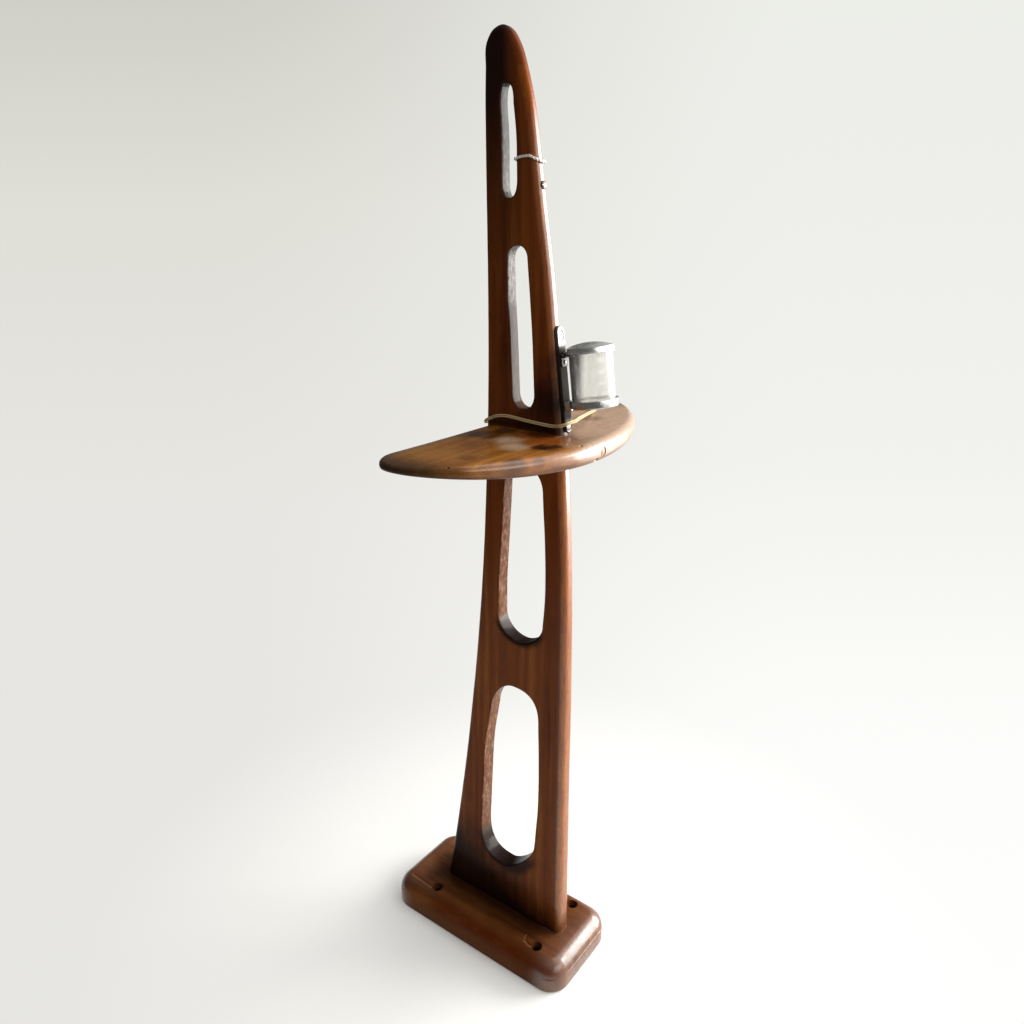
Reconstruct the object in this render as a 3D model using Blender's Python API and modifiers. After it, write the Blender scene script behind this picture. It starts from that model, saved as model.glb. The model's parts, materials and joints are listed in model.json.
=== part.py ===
"""Screw-down bench stand: a slotted wooden blade on a plinth, with a half-moon
shelf and a small lidded glass pot on a metal strap.

Frame: metres, +Z up. Origin on the plinth's underside, midway across its width and
within 3 mm of the middle of its length.
+X runs along the plinth, towards the edge of the blade that carries the pot;
Y is the blade's thickness.
"""
import math
import bpy
import bmesh
from mathutils import Matrix, Vector

MM = 0.001

# ------------------------------------------------------------ driving dimensions (mm)
HEIGHT = 915.0            # underside of the plinth to the tip of the blade
GAP = 0.35                # clearance between neighbouring solids

PLINTH_X0, PLINTH_X1 = -119.0, 114.6   # ends
PLINTH_Y, PLINTH_Z = 110.0, 34.0
PLINTH_CORNER = 23.0      # plan corner radius
PLINTH_STEP_Z = 18.6      # the side is upright up to here, then a quirk and a round-over
PLINTH_STEP = 0.9         # depth of the quirk
PLINTH_TOP_ROUND = 14.0
PLINTH_FOOT_ROUND = 3.0
HOLE_X = (-64.3, 76.5)    # floor screw holes
HOLE_Y = 35.8
HOLE_R, HOLE_MOUTH_R, HOLE_MOUTH_DEPTH = 3.0, 5.6, 5.5

BLADE_T_FOOT, BLADE_T_TIP = 21.2, 11.8     # blade thickness at the plinth and at the tip
BLADE_EDGE_ROUND = 6.4
SLOT_EDGE_ROUND = 2.2
# (height, edge) stations of the two long edges
BACK_EDGE = ((16, -74.5), (107, -57.8), (196, -43.4), (304, -28.8), (402, -18.2),
             (500, -11.0), (610, -6.4), (720, -5.2), (820, -6.1), (884, -5.6))
FRONT_EDGE = ((16, 88.2), (180, 87.7), (347, 87.3), (432, 86.3), (511, 82.9), (552, 80.3),
              (594, 77.3), (636, 72.3), (678, 67.3), (730, 61.0), (783, 52.6), (830, 45.7),
              (857, 41.0), (882, 34.2))
NOSE = ((26.4, 902), (19.6, 911), (11.5, 915), (2.2, 912.4), (-4.4, 904))
# each slot: side stations (height, back side, front side), apex (x, z) at top and bottom,
# superellipse powers of its four corners (top front, top back, bottom back, bottom front)
SLOTS = (
    (((800, 12.9, 27.8), (838, 12.6, 26.4), (857, 11.2, 24.0)), (16.0, 872.5), (20.0, 786.0),
     (2.6, 2.8, 2.4, 2.4)),
    (((622, 23.4, 47.3), (671, 21.3, 44.6), (710, 18.9, 41.4), (736, 18.2, 38.9)),
     (28.5, 748.0), (35.5, 608.0), (2.15, 2.15, 2.15, 2.15)),
    (((396, 6.8, 59.7), (428, 7.4, 61.7), (480, 10.8, 61.1), (531, 14.2, 58.0)),
     (35.0, 556.0), (33.5, 372.8), (2.2, 2.15, 2.0, 1.6)),
    (((132, -18.6, 53.2), (188, -15.2, 57.0), (251, -9.8, 57.0), (286, -3.4, 56.3)),
     (25.0, 320.3), (14.5, 89.8), (2.7, 1.75, 2.9, 1.4)),
)
TENON_X = (-50.0, 66.0)
TENON_T, TENON_DEPTH = 12.0, 18.0
FOOT_SCREW_X = (-36.0, 52.0)

SHELF_TOP = 589.8
SHELF_BACK = -6.2         # straight back edge
SHELF_REACH = 122.6       # depth from the back edge to the nose
SHELF_HALF = 174.1        # half length the bow would have without its round tips
SHELF_POWER = 1.93        # superellipse power of the bowed front edge
SHELF_TIP_R = 30.2
SHELF_T_MID, SHELF_T_TIP = 19.2, 3.0   # thickness at the middle, and where the bow would end
SHELF_T_POWER = 0.65

STRAP_FOOT = (81.4, 591.8)     # outer face at the strap's lower end (x, z)
STRAP_LEAN = 7.15              # degrees, top towards the back edge
STRAP_L, STRAP_W, STRAP_T = 92.4, 10.8, 2.8
STRAP_TIP_R = 3.5              # radius of the narrower lower end
STRAP_SCREWS = (5.8, 84.0)     # heights up the strap

POT_D = 27.7              # pot axis, out from the strap's outer face
CUP_R, CUP_WALL, CUP_LO, CUP_HI = 20.95, 1.5, 23.0, 29.8
LUG_LO, LUG_HI = 20.4, 28.2    # the cup's arm, a little lower than the cup
GLASS_R, GLASS_WALL, GLASS_FLOOR = 18.75, 1.5, 2.0
LID_R, LID_WALL, LID_LO, LID_HI, LID_DOME = 20.05, 0.85, 68.7, 74.4, 3.4
HINGE_D, HINGE_S, HINGE_R, HINGE_W = 3.2, 67.7, 2.4, 9.6
PIN_R = 1.05

CORD_R = 1.4
THREAD_R = 0.85
EDGE_SCREW_Z = 795.0

# ------------------------------------------------------------ scene set-up
for ob in list(bpy.data.objects):
    bpy.data.objects.remove(ob, do_unlink=True)

PARTS = bpy.data.collections.new("ham_holder_stand")
CUTS = bpy.data.collections.new("cutters")
for col in (PARTS, CUTS):
    bpy.context.scene.collection.children.link(col)


def material(name, rgb, rough, metal=0.0, alpha=1.0, ior=1.45):
    m = bpy.data.materials.new(name)
    m.use_nodes = True
    b = m.node_tree.nodes["Principled BSDF"]
    b.inputs["Base Color"].default_value = (*rgb, 1.0)
    b.inputs["Roughness"].default_value = rough
    b.inputs["Metallic"].default_value = metal
    b.inputs["Alpha"].default_value = alpha
    b.inputs["IOR"].default_value = ior
    return m


def place(ob, mat=None, cutter=False):
    (CUTS if cutter else PARTS).objects.link(ob)
    if cutter:
        ob.hide_render = True
        ob.display_type = 'WIRE'
    if mat:
        ob.data.materials.clear()
        ob.data.materials.append(mat)
    return ob


def evaluated_mesh(ob):
    bpy.context.view_layer.update()
    dg = bpy.context.evaluated_depsgraph_get()
    return bpy.data.meshes.new_from_object(ob.evaluated_get(dg))


def smooth(ob, angle=35.0):
    ob.data.shade_smooth()
    ob.data.set_sharp_from_angle(angle=math.radians(angle))


def spline_through(pts, per, closed=False):
    """Centripetal-like Catmull-Rom through 2-D or 3-D points, in mm."""
    P = [Vector(p) for p in pts]
    n = len(P)
    out = []
    for i in range(n if closed else n - 1):
        p1, p2 = P[i], P[(i + 1) % n]
        p0 = P[(i - 1) % n] if (closed or i > 0) else p1 - (p2 - p1)
        p3 = P[(i + 2) % n] if (closed or i + 2 < n) else p2 + (p2 - p1)
        d01, d12, d23 = (p1 - p0).length, (p2 - p1).length, (p3 - p2).length
        t1 = ((p1 - p0) / d01 - (p2 - p0) / (d01 + d12) + (p2 - p1) / d12) * d12
        t2 = ((p2 - p1) / d12 - (p3 - p1) / (d12 + d23) + (p3 - p2) / d23) * d12
        for k in range(per):
            u = k / per
            out.append(p1 * (2 * u**3 - 3 * u**2 + 1) + t1 * (u**3 - 2 * u**2 + u)
                       + p2 * (3 * u**2 - 2 * u**3) + t2 * (u**3 - u**2))
    if not closed:
        out.append(P[-1])
    return out


def flat_mesh(name, loops, half, plane='XY', centre=0.0):
    """Solid from a filled 2-D curve (mm). Flat caps become single polygons where
    the outline has no holes. plane XZ stands the outline up, thickness along Y;
    plane YZ has its thickness along X."""
    cu = bpy.data.curves.new(name, 'CURVE')
    cu.dimensions = '2D'
    cu.fill_mode = 'BOTH'
    cu.extrude = half * MM
    for pts in loops:
        sp = cu.splines.new('POLY')
        sp.points.add(len(pts) - 1)
        for q, p in zip(sp.points, pts):
            q.co = (p[0] * MM, p[1] * MM, 0.0, 1.0)
        sp.use_cyclic_u = True
    ob = bpy.data.objects.new(name, cu)
    CUTS.objects.link(ob)
    me = evaluated_mesh(ob)
    bpy.data.objects.remove(ob)
    bm = bmesh.new()
    bm.from_mesh(me)
    bmesh.ops.remove_doubles(bm, verts=bm.verts, dist=1e-6)
    if len(loops) == 1:
        inner = [e for e in bm.edges if len(e.link_faces) == 2
                 and all(abs(f.normal.z) > 0.999 for f in e.link_faces)]
        bmesh.ops.dissolve_edges(bm, edges=inner, use_verts=False)
    turn = {'XY': Matrix.Identity(4),
            'XZ': Matrix.Rotation(math.pi / 2, 4, 'X'),
            'YZ': Matrix(((0, 0, 1, 0), (1, 0, 0, 0), (0, 1, 0, 0), (0, 0, 0, 1)))}[plane]
    shift = {'XY': (0, 0, centre), 'XZ': (0, centre, 0), 'YZ': (centre, 0, 0)}[plane]
    bmesh.ops.transform(bm, matrix=Matrix.Translation(Vector(shift) * MM) @ turn, verts=bm.verts)
    bmesh.ops.recalc_face_normals(bm, faces=bm.faces)
    bm.to_mesh(me)
    bm.free()
    return me


def turned(name, profile, steps, matrix=None):
    """Turned solid: the profile (r, z in mm) starts and ends on the axis and runs
    down its outer side."""
    me = bpy.data.meshes.new(name)
    me.from_pydata([(r * MM, 0, z * MM) for r, z in profile],
                   [(i, i + 1) for i in range(len(profile) - 1)], [])
    ob = bpy.data.objects.new(name, me)
    CUTS.objects.link(ob)
    s = ob.modifiers.new("turn", 'SCREW')
    s.axis = 'Z'
    s.steps = s.render_steps = steps
    s.use_merge_vertices = True
    s.merge_threshold = 1e-6
    out = evaluated_mesh(ob)
    bpy.data.objects.remove(ob)
    bm = bmesh.new()
    bm.from_mesh(out)
    bmesh.ops.remove_doubles(bm, verts=bm.verts, dist=1e-6)
    bmesh.ops.recalc_face_normals(bm, faces=bm.faces)
    if matrix is not None:
        bmesh.ops.transform(bm, matrix=matrix, verts=bm.verts)
    bm.to_mesh(out)
    bm.free()
    return out


def box_mesh(name, lo, hi, bevel=0.0, segments=2):
    bm = bmesh.new()
    bmesh.ops.create_cube(bm, size=1.0)
    lo, hi = Vector(lo) * MM, Vector(hi) * MM
    for v in bm.verts:
        v.co = Vector(((hi[i] + lo[i]) / 2 + v.co[i] * (hi[i] - lo[i]) for i in range(3)))
    if bevel:
        bmesh.ops.bevel(bm, geom=bm.edges[:], offset=bevel * MM, segments=segments,
                        profile=0.5, affect='EDGES')
    me = bpy.data.meshes.new(name)
    bm.to_mesh(me)
    bm.free()
    return me


def joined(name, meshes):
    bm = bmesh.new()
    for me in meshes:
        bm.from_mesh(me)
    out = bpy.data.meshes.new(name)
    bm.to_mesh(out)
    bm.free()
    return out


def add(name, me, mat, parent=None):
    ob = place(bpy.data.objects.new(name, me), mat)
    if parent:
        ob.parent = parent
    return ob


def cutter(name, me, parent=None):
    ob = place(bpy.data.objects.new(name, me), None, cutter=True)
    if parent:
        ob.parent = parent
    return ob


def cut(ob, tool, op='DIFFERENCE'):
    m = ob.modifiers.new(op.lower() + "_" + tool.name, 'BOOLEAN')
    m.operation = op
    m.solver = 'EXACT'
    m.object = tool
    return m


def settle(ob):
    """Bake the modifiers into the mesh and weld it."""
    me = evaluated_mesh(ob)
    ob.modifiers.clear()
    bm = bmesh.new()
    bm.from_mesh(me)
    bmesh.ops.remove_doubles(bm, verts=bm.verts, dist=2e-6)
    bmesh.ops.dissolve_degenerate(bm, edges=bm.edges, dist=1e-6)
    bm.to_mesh(me)
    bm.free()
    ob.data = me
    return ob


def blade_t(z):
    u = (z - PLINTH_Z) / (HEIGHT - PLINTH_Z)
    return BLADE_T_FOOT + (BLADE_T_TIP - BLADE_T_FOOT) * u


def at(stations, z):
    """Smooth edge position at a height."""
    pts = spline_through([(x, h) for h, x in stations], 8)
    for a, b in zip(pts, pts[1:]):
        if a.y <= z <= b.y:
            return a.x + (b.x - a.x) * (z - a.y) / (b.y - a.y)
    return pts[-1].x


# ------------------------------------------------------------ materials
WOOD_BASE = material("plinth_wood", (0.085, 0.028, 0.012), 0.32)
WOOD_BLADE = material("blade_wood", (0.07, 0.020, 0.010), 0.30)
WOOD_SHELF = material("shelf_wood", (0.17, 0.062, 0.020), 0.30)
PLUG_WOOD = material("plug_wood", (0.12, 0.045, 0.018), 0.4)
NICKEL = material("nickel", (0.42, 0.41, 0.39), 0.28, 1.0)
CUP_METAL = material("cup_nickel", (0.45, 0.45, 0.43), 0.25, 1.0)
LID_METAL = material("lid_nickel", (0.40, 0.41, 0.40), 0.30, 1.0)
LEAF_METAL = material("hinge_nickel", (0.30, 0.29, 0.27), 0.35, 1.0)
STEEL = material("screw_steel", (0.50, 0.49, 0.46), 0.35, 1.0)
DARK_STEEL = material("dark_steel", (0.10, 0.09, 0.08), 0.5, 1.0)
GLASS = material("pot_glass", (0.90, 0.91, 0.88), 0.06, 0.0, 0.35, 1.5)
CORK = material("cork", (0.42, 0.27, 0.14), 0.85)
SEAL = material("seal_disc", (0.50, 0.40, 0.27), 0.8)
CORD = material("cord", (0.62, 0.50, 0.30), 0.9)
THREAD = material("thread", (0.85, 0.84, 0.82), 0.9)

# ------------------------------------------------------------ plinth
def slab(name, inset, z0, z1, corner, top=0.0, foot=0.0):
    """Round-cornered slab between two heights, with its top or foot edge rounded."""
    bm = bmesh.new()
    bmesh.ops.create_cube(bm, size=1.0)
    for v in bm.verts:
        v.co = Vector(((PLINTH_X0 + PLINTH_X1) / 2 + v.co.x * (PLINTH_X1 - PLINTH_X0 - 2 * inset),
                       v.co.y * (PLINTH_Y - 2 * inset), z0 + (v.co.z + 0.5) * (z1 - z0))) * MM
    edges = [e for e in bm.edges if abs(e.verts[0].co.z - e.verts[1].co.z) > 1 * MM]
    bmesh.ops.bevel(bm, geom=edges, offset=corner * MM, segments=7, profile=0.5, affect='EDGES')
    if top:
        rim = [e for e in bm.edges if all(v.co.z > (z1 - 0.1) * MM for v in e.verts)]
        bmesh.ops.bevel(bm, geom=rim, offset=top * MM, segments=6, profile=0.5, affect='EDGES')
    if foot:
        rim = [e for e in bm.edges if all(v.co.z < (z0 + 0.1) * MM for v in e.verts)]
        bmesh.ops.bevel(bm, geom=rim, offset=foot * MM, segments=2, profile=0.5, affect='EDGES')
    me = bpy.data.meshes.new(name)
    bm.to_mesh(me)
    bm.free()
    return me


plinth = add("base_plinth", slab("base_plinth", 0.0, 0.0, PLINTH_STEP_Z, PLINTH_CORNER,
                                 foot=PLINTH_FOOT_ROUND), WOOD_BASE)
upper = cutter("add_upper_slab", slab("add_upper_slab", PLINTH_STEP, PLINTH_STEP_Z - 1.5, PLINTH_Z,
                                      PLINTH_CORNER - PLINTH_STEP, top=PLINTH_TOP_ROUND))
cut(plinth, upper, 'UNION')

mortise = cutter("cut_mortise", box_mesh("cut_mortise",
                 (TENON_X[0] - GAP, -TENON_T / 2 - GAP, PLINTH_Z - TENON_DEPTH - 0.6),
                 (TENON_X[1] + GAP, TENON_T / 2 + GAP, PLINTH_Z + 5)))
cut(plinth, mortise)
holes = []
for x in HOLE_X:
    for y in (-HOLE_Y, HOLE_Y):
        holes.append(turned("hole", ((0, PLINTH_Z + 2), (HOLE_MOUTH_R + 0.4, PLINTH_Z + 2),
                                     (HOLE_MOUTH_R, PLINTH_Z - 1.0),
                                     (HOLE_MOUTH_R - 0.5, PLINTH_Z - HOLE_MOUTH_DEPTH),
                                     (HOLE_R, PLINTH_Z - HOLE_MOUTH_DEPTH - 2.6),
                                     (HOLE_R, -2), (0, -2)), 20,
                            Matrix.Translation(Vector((x, y, 0)) * MM)))
FOOT_HEAD = 4.6
for x in FOOT_SCREW_X:
    holes.append(turned("hole", ((0, PLINTH_Z - TENON_DEPTH + 1), (2.1 + GAP, PLINTH_Z - TENON_DEPTH + 1),
                                 (2.1 + GAP, 4.0), (FOOT_HEAD + 0.2, 0.6), (FOOT_HEAD + 0.2, -1),
                                 (0, -1)), 16, Matrix.Translation(Vector((x, 0, 0)) * MM)))
cut(plinth, cutter("cut_plinth_holes", joined("cut_plinth_holes", holes)))
settle(plinth)
smooth(plinth)

# screws up through the plinth into the blade's tenon
for tag, x in zip(("rear", "front"), FOOT_SCREW_X):
    ob = add("upright_screw_" + tag, turned("s", (
        (0, 31.0), (0.5, 30.2), (2.0, 25.5), (2.1, 4.1), (FOOT_HEAD - 0.35, 1.0),
        (FOOT_HEAD - 0.35, 0.6), (0, 0.6)), 16, Matrix.Translation(Vector((x, 0, 0)) * MM)), STEEL)
    cut(ob, cutter("cut_foot_slot_" + tag, box_mesh("b", (x - 6, -0.55, 0.0), (x + 6, 0.55, 1.7))))
    settle(ob)
    smooth(ob)

# ------------------------------------------------------------ blade
front = [(x, h) for h, x in FRONT_EDGE]
back = [(x, h) for h, x in reversed(BACK_EDGE)]
outline = spline_through(front + list(NOSE) + back, 3)
me = flat_mesh("upright_blade", [outline], 8.0, 'XZ')
bm = bmesh.new()
bm.from_mesh(me)
rim = [e for e in bm.edges if len(e.link_faces) == 2
       and sum(abs(f.normal.y) > 0.999 for f in e.link_faces) == 1
       and not all(v.co.z < 16.5 * MM for v in e.verts)]
bmesh.ops.bevel(bm, geom=rim, offset=BLADE_EDGE_ROUND * MM, segments=5, profile=0.5,
                affect='EDGES', clamp_overlap=False)
for v in bm.verts:
    v.co.y *= blade_t(v.co.z / MM) / 16.0
bm.to_mesh(me)
bm.free()
blade = add("upright_blade", me, WOOD_BLADE)


def slot_loop(sides, top, bottom, powers, n=5):
    """Closed outline of one slot: curved sides between stations, a rounded cap at
    each end running to its apex."""
    right = spline_through([(r, z) for z, l, r in sides], 3)
    left = spline_through([(l, z) for z, l, r in reversed(sides)], 3)

    def quarter(p, apex, rising, power):
        pts = []
        for k in range(1, n):
            a = math.pi / 2 * k / n
            if not rising:
                a = math.pi / 2 - a
            u, w = math.cos(a) ** (2 / power), math.sin(a) ** (2 / power)
            pts.append(Vector((apex[0] + (p[0] - apex[0]) * u, p[1] + (apex[1] - p[1]) * w)))
        return pts
    return (right + quarter(right[-1], top, True, powers[0]) + [Vector(top)]
            + quarter(left[0], top, False, powers[1]) + left
            + quarter(left[-1], bottom, True, powers[2]) + [Vector(bottom)]
            + quarter(right[0], bottom, False, powers[3]))


slot_cut = cutter("cut_slots", joined("cut_slots", [
    flat_mesh("slot", [slot_loop(*s)], 20.0, 'XZ') for s in SLOTS]))
cut(blade, slot_cut)
soft = blade.modifiers.new("soft_edges", 'BEVEL')
soft.limit_method = 'ANGLE'
soft.angle_limit = math.radians(62)
soft.width = SLOT_EDGE_ROUND * MM
soft.segments = 2
shoulder = cutter("cut_shoulders", flat_mesh("cut_shoulders", [
    [(-110, -25), (120, -25), (120, 25), (-110, 25)],
    [(TENON_X[0], -TENON_T / 2), (TENON_X[1], -TENON_T / 2),
     (TENON_X[1], TENON_T / 2), (TENON_X[0], TENON_T / 2)]],
    (PLINTH_Z + GAP - 10) / 2, 'XY', (PLINTH_Z + GAP + 10) / 2))
cut(blade, shoulder)

# the strap's frame: origin on the strap's outer face at its lower end,
# local Z up the strap, local X away from the blade
frame = bpy.data.objects.new("strap_frame", None)
PARTS.objects.link(frame)
frame.location = Vector((STRAP_FOOT[0], 0, STRAP_FOOT[1])) * MM
frame.rotation_euler = (0, -math.radians(STRAP_LEAN), 0)
bpy.context.view_layer.update()
TO_X = Matrix.Rotation(math.pi / 2, 4, 'Y')          # local Z becomes local X


def along_x(s):
    """Matrix that lays a turned piece along local +X at height s up the strap."""
    return Matrix.Translation(Vector((0, 0, s)) * MM) @ TO_X


SCREW_R = 1.9
pilots = [turned("p", ((0, 2), (SCREW_R + GAP, 2), (SCREW_R + GAP, -20), (0, -21)), 14, along_x(s))
          for s in STRAP_SCREWS]
cut(blade, cutter("cut_strap_pilots", joined("cut_strap_pilots", pilots), frame))
EDGE_X = at(FRONT_EDGE, EDGE_SCREW_Z)
EDGE_LEAN = math.atan2(at(FRONT_EDGE, EDGE_SCREW_Z - 5) - at(FRONT_EDGE, EDGE_SCREW_Z + 5), 10)
edge_m = (Matrix.Translation(Vector((EDGE_X, 0, EDGE_SCREW_Z)) * MM)
          @ Matrix.Rotation(-EDGE_LEAN, 4, 'Y') @ TO_X)
cut(blade, cutter("cut_edge_pilot", turned("cut_edge_pilot", (
    (0, 3), (1.4 + GAP, 3), (1.4 + GAP, -14), (0, -15)), 12, edge_m)))
foot_pilots = [turned("p", ((0, 32.0), (2.1 + GAP, 31.0), (2.1 + GAP, 10), (0, 10)), 14,
                      Matrix.Translation(Vector((x, 0, 0)) * MM)) for x in FOOT_SCREW_X]
cut(blade, cutter("cut_foot_pilots", joined("cut_foot_pilots", foot_pilots)))
SHELF_MID = SHELF_TOP - SHELF_T_MID / 2
nose_m = Matrix.Translation(Vector((0, 0, SHELF_MID)) * MM) @ TO_X
cut(blade, cutter("cut_shelf_pilot", turned("cut_shelf_pilot", (
    (0, 90), (1.9 + GAP, 90), (1.9 + GAP, 58), (0, 57)), 14, nose_m)))
settle(blade)
smooth(blade)

# ------------------------------------------------------------ shelf
def front_x(y):
    return SHELF_BACK + SHELF_REACH * max(0.0, 1 - abs(y / SHELF_HALF) ** SHELF_POWER) ** (1 / SHELF_POWER)


def front_normal(y):
    """Angle from +X of the front edge's outward normal."""
    return math.atan2(front_x(y - 0.05) - front_x(y + 0.05), 0.1)


# the tip's round leaves the front edge where it just fits against the back edge
y_turn = 0.6 * SHELF_HALF
while front_x(y_turn) - SHELF_BACK > SHELF_TIP_R * (1 + math.cos(front_normal(y_turn))):
    y_turn += 0.05
a_turn = front_normal(y_turn)
TIP_Y = y_turn - SHELF_TIP_R * math.sin(a_turn)


def shelf_thickness(y):
    u = min(1.0, abs(y) / SHELF_HALF)
    return SHELF_T_TIP + (SHELF_T_MID - SHELF_T_TIP) * (1 - u * u) ** SHELF_T_POWER


ROWS = 22
ys = [TIP_Y * math.sin(math.pi / 2 * (2 * i / ROWS - 1)) for i in range(ROWS + 1)]
tip = []                                 # far tip, from the front edge round to the back edge
for k in range(1, 6):
    y = TIP_Y + (y_turn - TIP_Y) * k / 5
    tip.append(Vector((front_x(y), y)))
for k in range(1, 7):
    a = a_turn + (math.pi - a_turn) * k / 7
    tip.append(Vector((SHELF_BACK + SHELF_TIP_R * (1 + math.cos(a)), TIP_Y + SHELF_TIP_R * math.sin(a))))
front_pts = [Vector((front_x(y), y)) for y in ys]
back_pts = [Vector((SHELF_BACK, y)) for y in reversed(ys)]
near = [Vector((p.x, -p.y)) for p in reversed(tip)]
loop = front_pts + tip + back_pts + near
n_loop = len(loop)
normals = []
for i in range(n_loop):
    d = (loop[(i + 1) % n_loop] - loop[i]).normalized() + (loop[i] - loop[i - 1]).normalized()
    normals.append(Vector((d.y, -d.x)).normalized())
arcs = 4
rings = []
bm = bmesh.new()
for half in (1, -1):
    for k in range(arcs + 1):
        a = math.pi / 2 * (1 - k / arcs) if half == 1 else -math.pi / 2 * k / arcs
        if half == -1 and k == 0:
            continue
        ring = []
        for p, nn in zip(loop, normals):
            t = shelf_thickness(p.y)
            r = 0.46 * t
            q = p - nn * (r * (1 - math.cos(a)))
            z = SHELF_TOP - r + r * math.sin(a) if half == 1 else SHELF_TOP - t + r + r * math.sin(a)
            ring.append(bm.verts.new((q.x * MM, q.y * MM, z * MM)))
        rings.append(ring)
for r0, r1 in zip(rings, rings[1:]):
    for i in range(n_loop):
        j = (i + 1) % n_loop
        bm.faces.new((r0[i], r1[i], r1[j], r0[j]))
bm.faces.new(rings[0])
low = rings[-1]
nf, nt = len(front_pts), len(tip)
b0 = nf + nt                             # first back point, at the far end
for i in range(nf - 1):
    bm.faces.new((low[i], low[i + 1], low[b0 + nf - 2 - i], low[b0 + nf - 1 - i]))
bm.faces.new([low[nf - 1]] + low[nf:nf + nt] + [low[b0]])
bm.faces.new([low[b0 + nf - 1]] + low[b0 + nf:] + [low[0]])
bmesh.ops.recalc_face_normals(bm, faces=bm.faces)
me = bpy.data.meshes.new("shelf_leaf")
bm.to_mesh(me)
bm.free()
shelf = add("shelf_leaf", me, WOOD_SHELF)

# open notch that takes the blade, following its lean and its rounded edge
zc = SHELF_MID
half_t = blade_t(zc) / 2 + GAP
xe = at(FRONT_EDGE, zc) + GAP + 0.1
er = BLADE_EDGE_ROUND
notch = [Vector((SHELF_BACK - 30, -half_t)), Vector((xe - er, -half_t))]
for k in range(1, 10):
    a = -math.pi / 2 + math.pi * k / 10
    notch.append(Vector((xe - er + er * math.cos(a) ** 0.72,
                         math.copysign(half_t * abs(math.sin(a)) ** 0.72, a) if k != 5 else 0.0)))
notch += [Vector((xe - er, half_t)), Vector((SHELF_BACK - 30, half_t))]
me = flat_mesh("cut_notch", [notch], 15.0, 'XY', zc)
lean = (at(FRONT_EDGE, zc + 8) - at(FRONT_EDGE, zc - 8)) / 16.0
for v in me.vertices:
    if v.co.x > 0:
        v.co.x += lean * (v.co.z - zc * MM)
cut(shelf, cutter("cut_notch", me))
PLUG_R = 4.4
NOSE_X = SHELF_BACK + SHELF_REACH
PLUG_IN = NOSE_X - 9.0
nose_hole = turned("cut_nose", ((0, NOSE_X + 9), (PLUG_R + GAP, NOSE_X + 9), (PLUG_R + GAP, PLUG_IN - 5),
                                (1.9 + GAP, PLUG_IN - 8), (1.9 + GAP, 70), (0, 70)), 18, nose_m)
cut(shelf, cutter("cut_nose", nose_hole))
settle(shelf)
smooth(shelf)

screw = add("shelf_screw", turned("shelf_screw", (
    (0, PLUG_IN - 4.6), (PLUG_R - 0.7, PLUG_IN - 4.6), (PLUG_R - 0.7, PLUG_IN - 5.2),
    (1.9, PLUG_IN - 7.6), (1.9, 66), (0.4, 60.5), (0, 60)), 16, nose_m), STEEL)
cut(screw, cutter("cut_shelf_screw_slot", box_mesh("b", (PLUG_IN - 5.8, -6, SHELF_MID - 0.5),
                                                   (PLUG_IN - 3, 6, SHELF_MID + 0.5))))
settle(screw)
smooth(screw)
add("shelf_plug", turned("shelf_plug", (
    (0, NOSE_X - 0.1), (2.4, NOSE_X - 0.6), (PLUG_R, NOSE_X - 1.8), (PLUG_R, PLUG_IN - 4.0),
    (PLUG_R - 0.5, PLUG_IN - 4.2), (0, PLUG_IN - 4.2)), 18, nose_m), PLUG_WOOD)
smooth(bpy.data.objects["shelf_plug"])

# ------------------------------------------------------------ strap and its screws
w = STRAP_W / 2
strap_out = []
for k in range(13):
    a = math.pi * k / 12
    strap_out.append(Vector((w * math.cos(a), STRAP_L - w + w * math.sin(a))))
taper = math.atan2(w - STRAP_TIP_R, 9.0)     # the sides draw in towards the lower end
for k in range(13):
    a = math.pi + taper + (math.pi - 2 * taper) * k / 12
    strap_out.append(Vector((STRAP_TIP_R * math.cos(a), STRAP_TIP_R + STRAP_TIP_R * math.sin(a))))
strap_out = strap_out[:13] + [Vector((-w, STRAP_TIP_R + 8.5))] + strap_out[13:] + [Vector((w, STRAP_TIP_R + 8.5))]
strap = add("mount_strap", flat_mesh("mount_strap", [strap_out], STRAP_T / 2, 'YZ', -STRAP_T / 2),
            NICKEL, frame)
bev = strap.modifiers.new("eased", 'BEVEL')
bev.limit_method = 'ANGLE'
bev.angle_limit = math.radians(60)
bev.width = 0.4 * MM
bev.segments = 1
HEADS = (3.3, 3.9)        # head radii of the lower and upper screws
CUP_S = (LUG_LO + LUG_HI) / 2
RIVET_S = 61.6
strap_holes = [turned("h", ((0, 1), (r + 0.55, 1), (r + 0.35, -0.35),
                            (SCREW_R + GAP, -2.25), (SCREW_R + GAP, -5), (0, -5)), 20, along_x(s))
               for s, r in zip(STRAP_SCREWS, HEADS)]
strap_holes.append(turned("h", ((0, 1), (1.5 + GAP, 1), (1.5 + GAP, -1.7), (3.6, -STRAP_T - 0.5),
                                (0, -STRAP_T - 0.5)), 16, along_x(CUP_S)))
strap_holes.append(turned("h", ((0, 1), (1.0 + GAP, 1), (1.0 + GAP, -5), (0, -5)), 14, along_x(RIVET_S)))
cut(strap, cutter("cut_strap_holes", joined("cut_strap_holes", strap_holes), frame))
settle(strap)
smooth(strap)

for tag, h, r in zip(("lower", "upper"), STRAP_SCREWS, HEADS):
    ob = add("strap_screw_" + tag, turned("s", (
        (0, -0.15), (r - 0.6, -0.15), (r, -0.4), (SCREW_R, -2.3), (SCREW_R, -13),
        (0.4, -18.0), (0, -18.4)), 18, along_x(h)), STEEL, frame)
    cut(ob, cutter("cut_strap_slot_" + tag, box_mesh("b", (-1.1, -6, h - 0.45), (1, 6, h + 0.45)), frame))
    settle(ob)
    smooth(ob)

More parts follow.
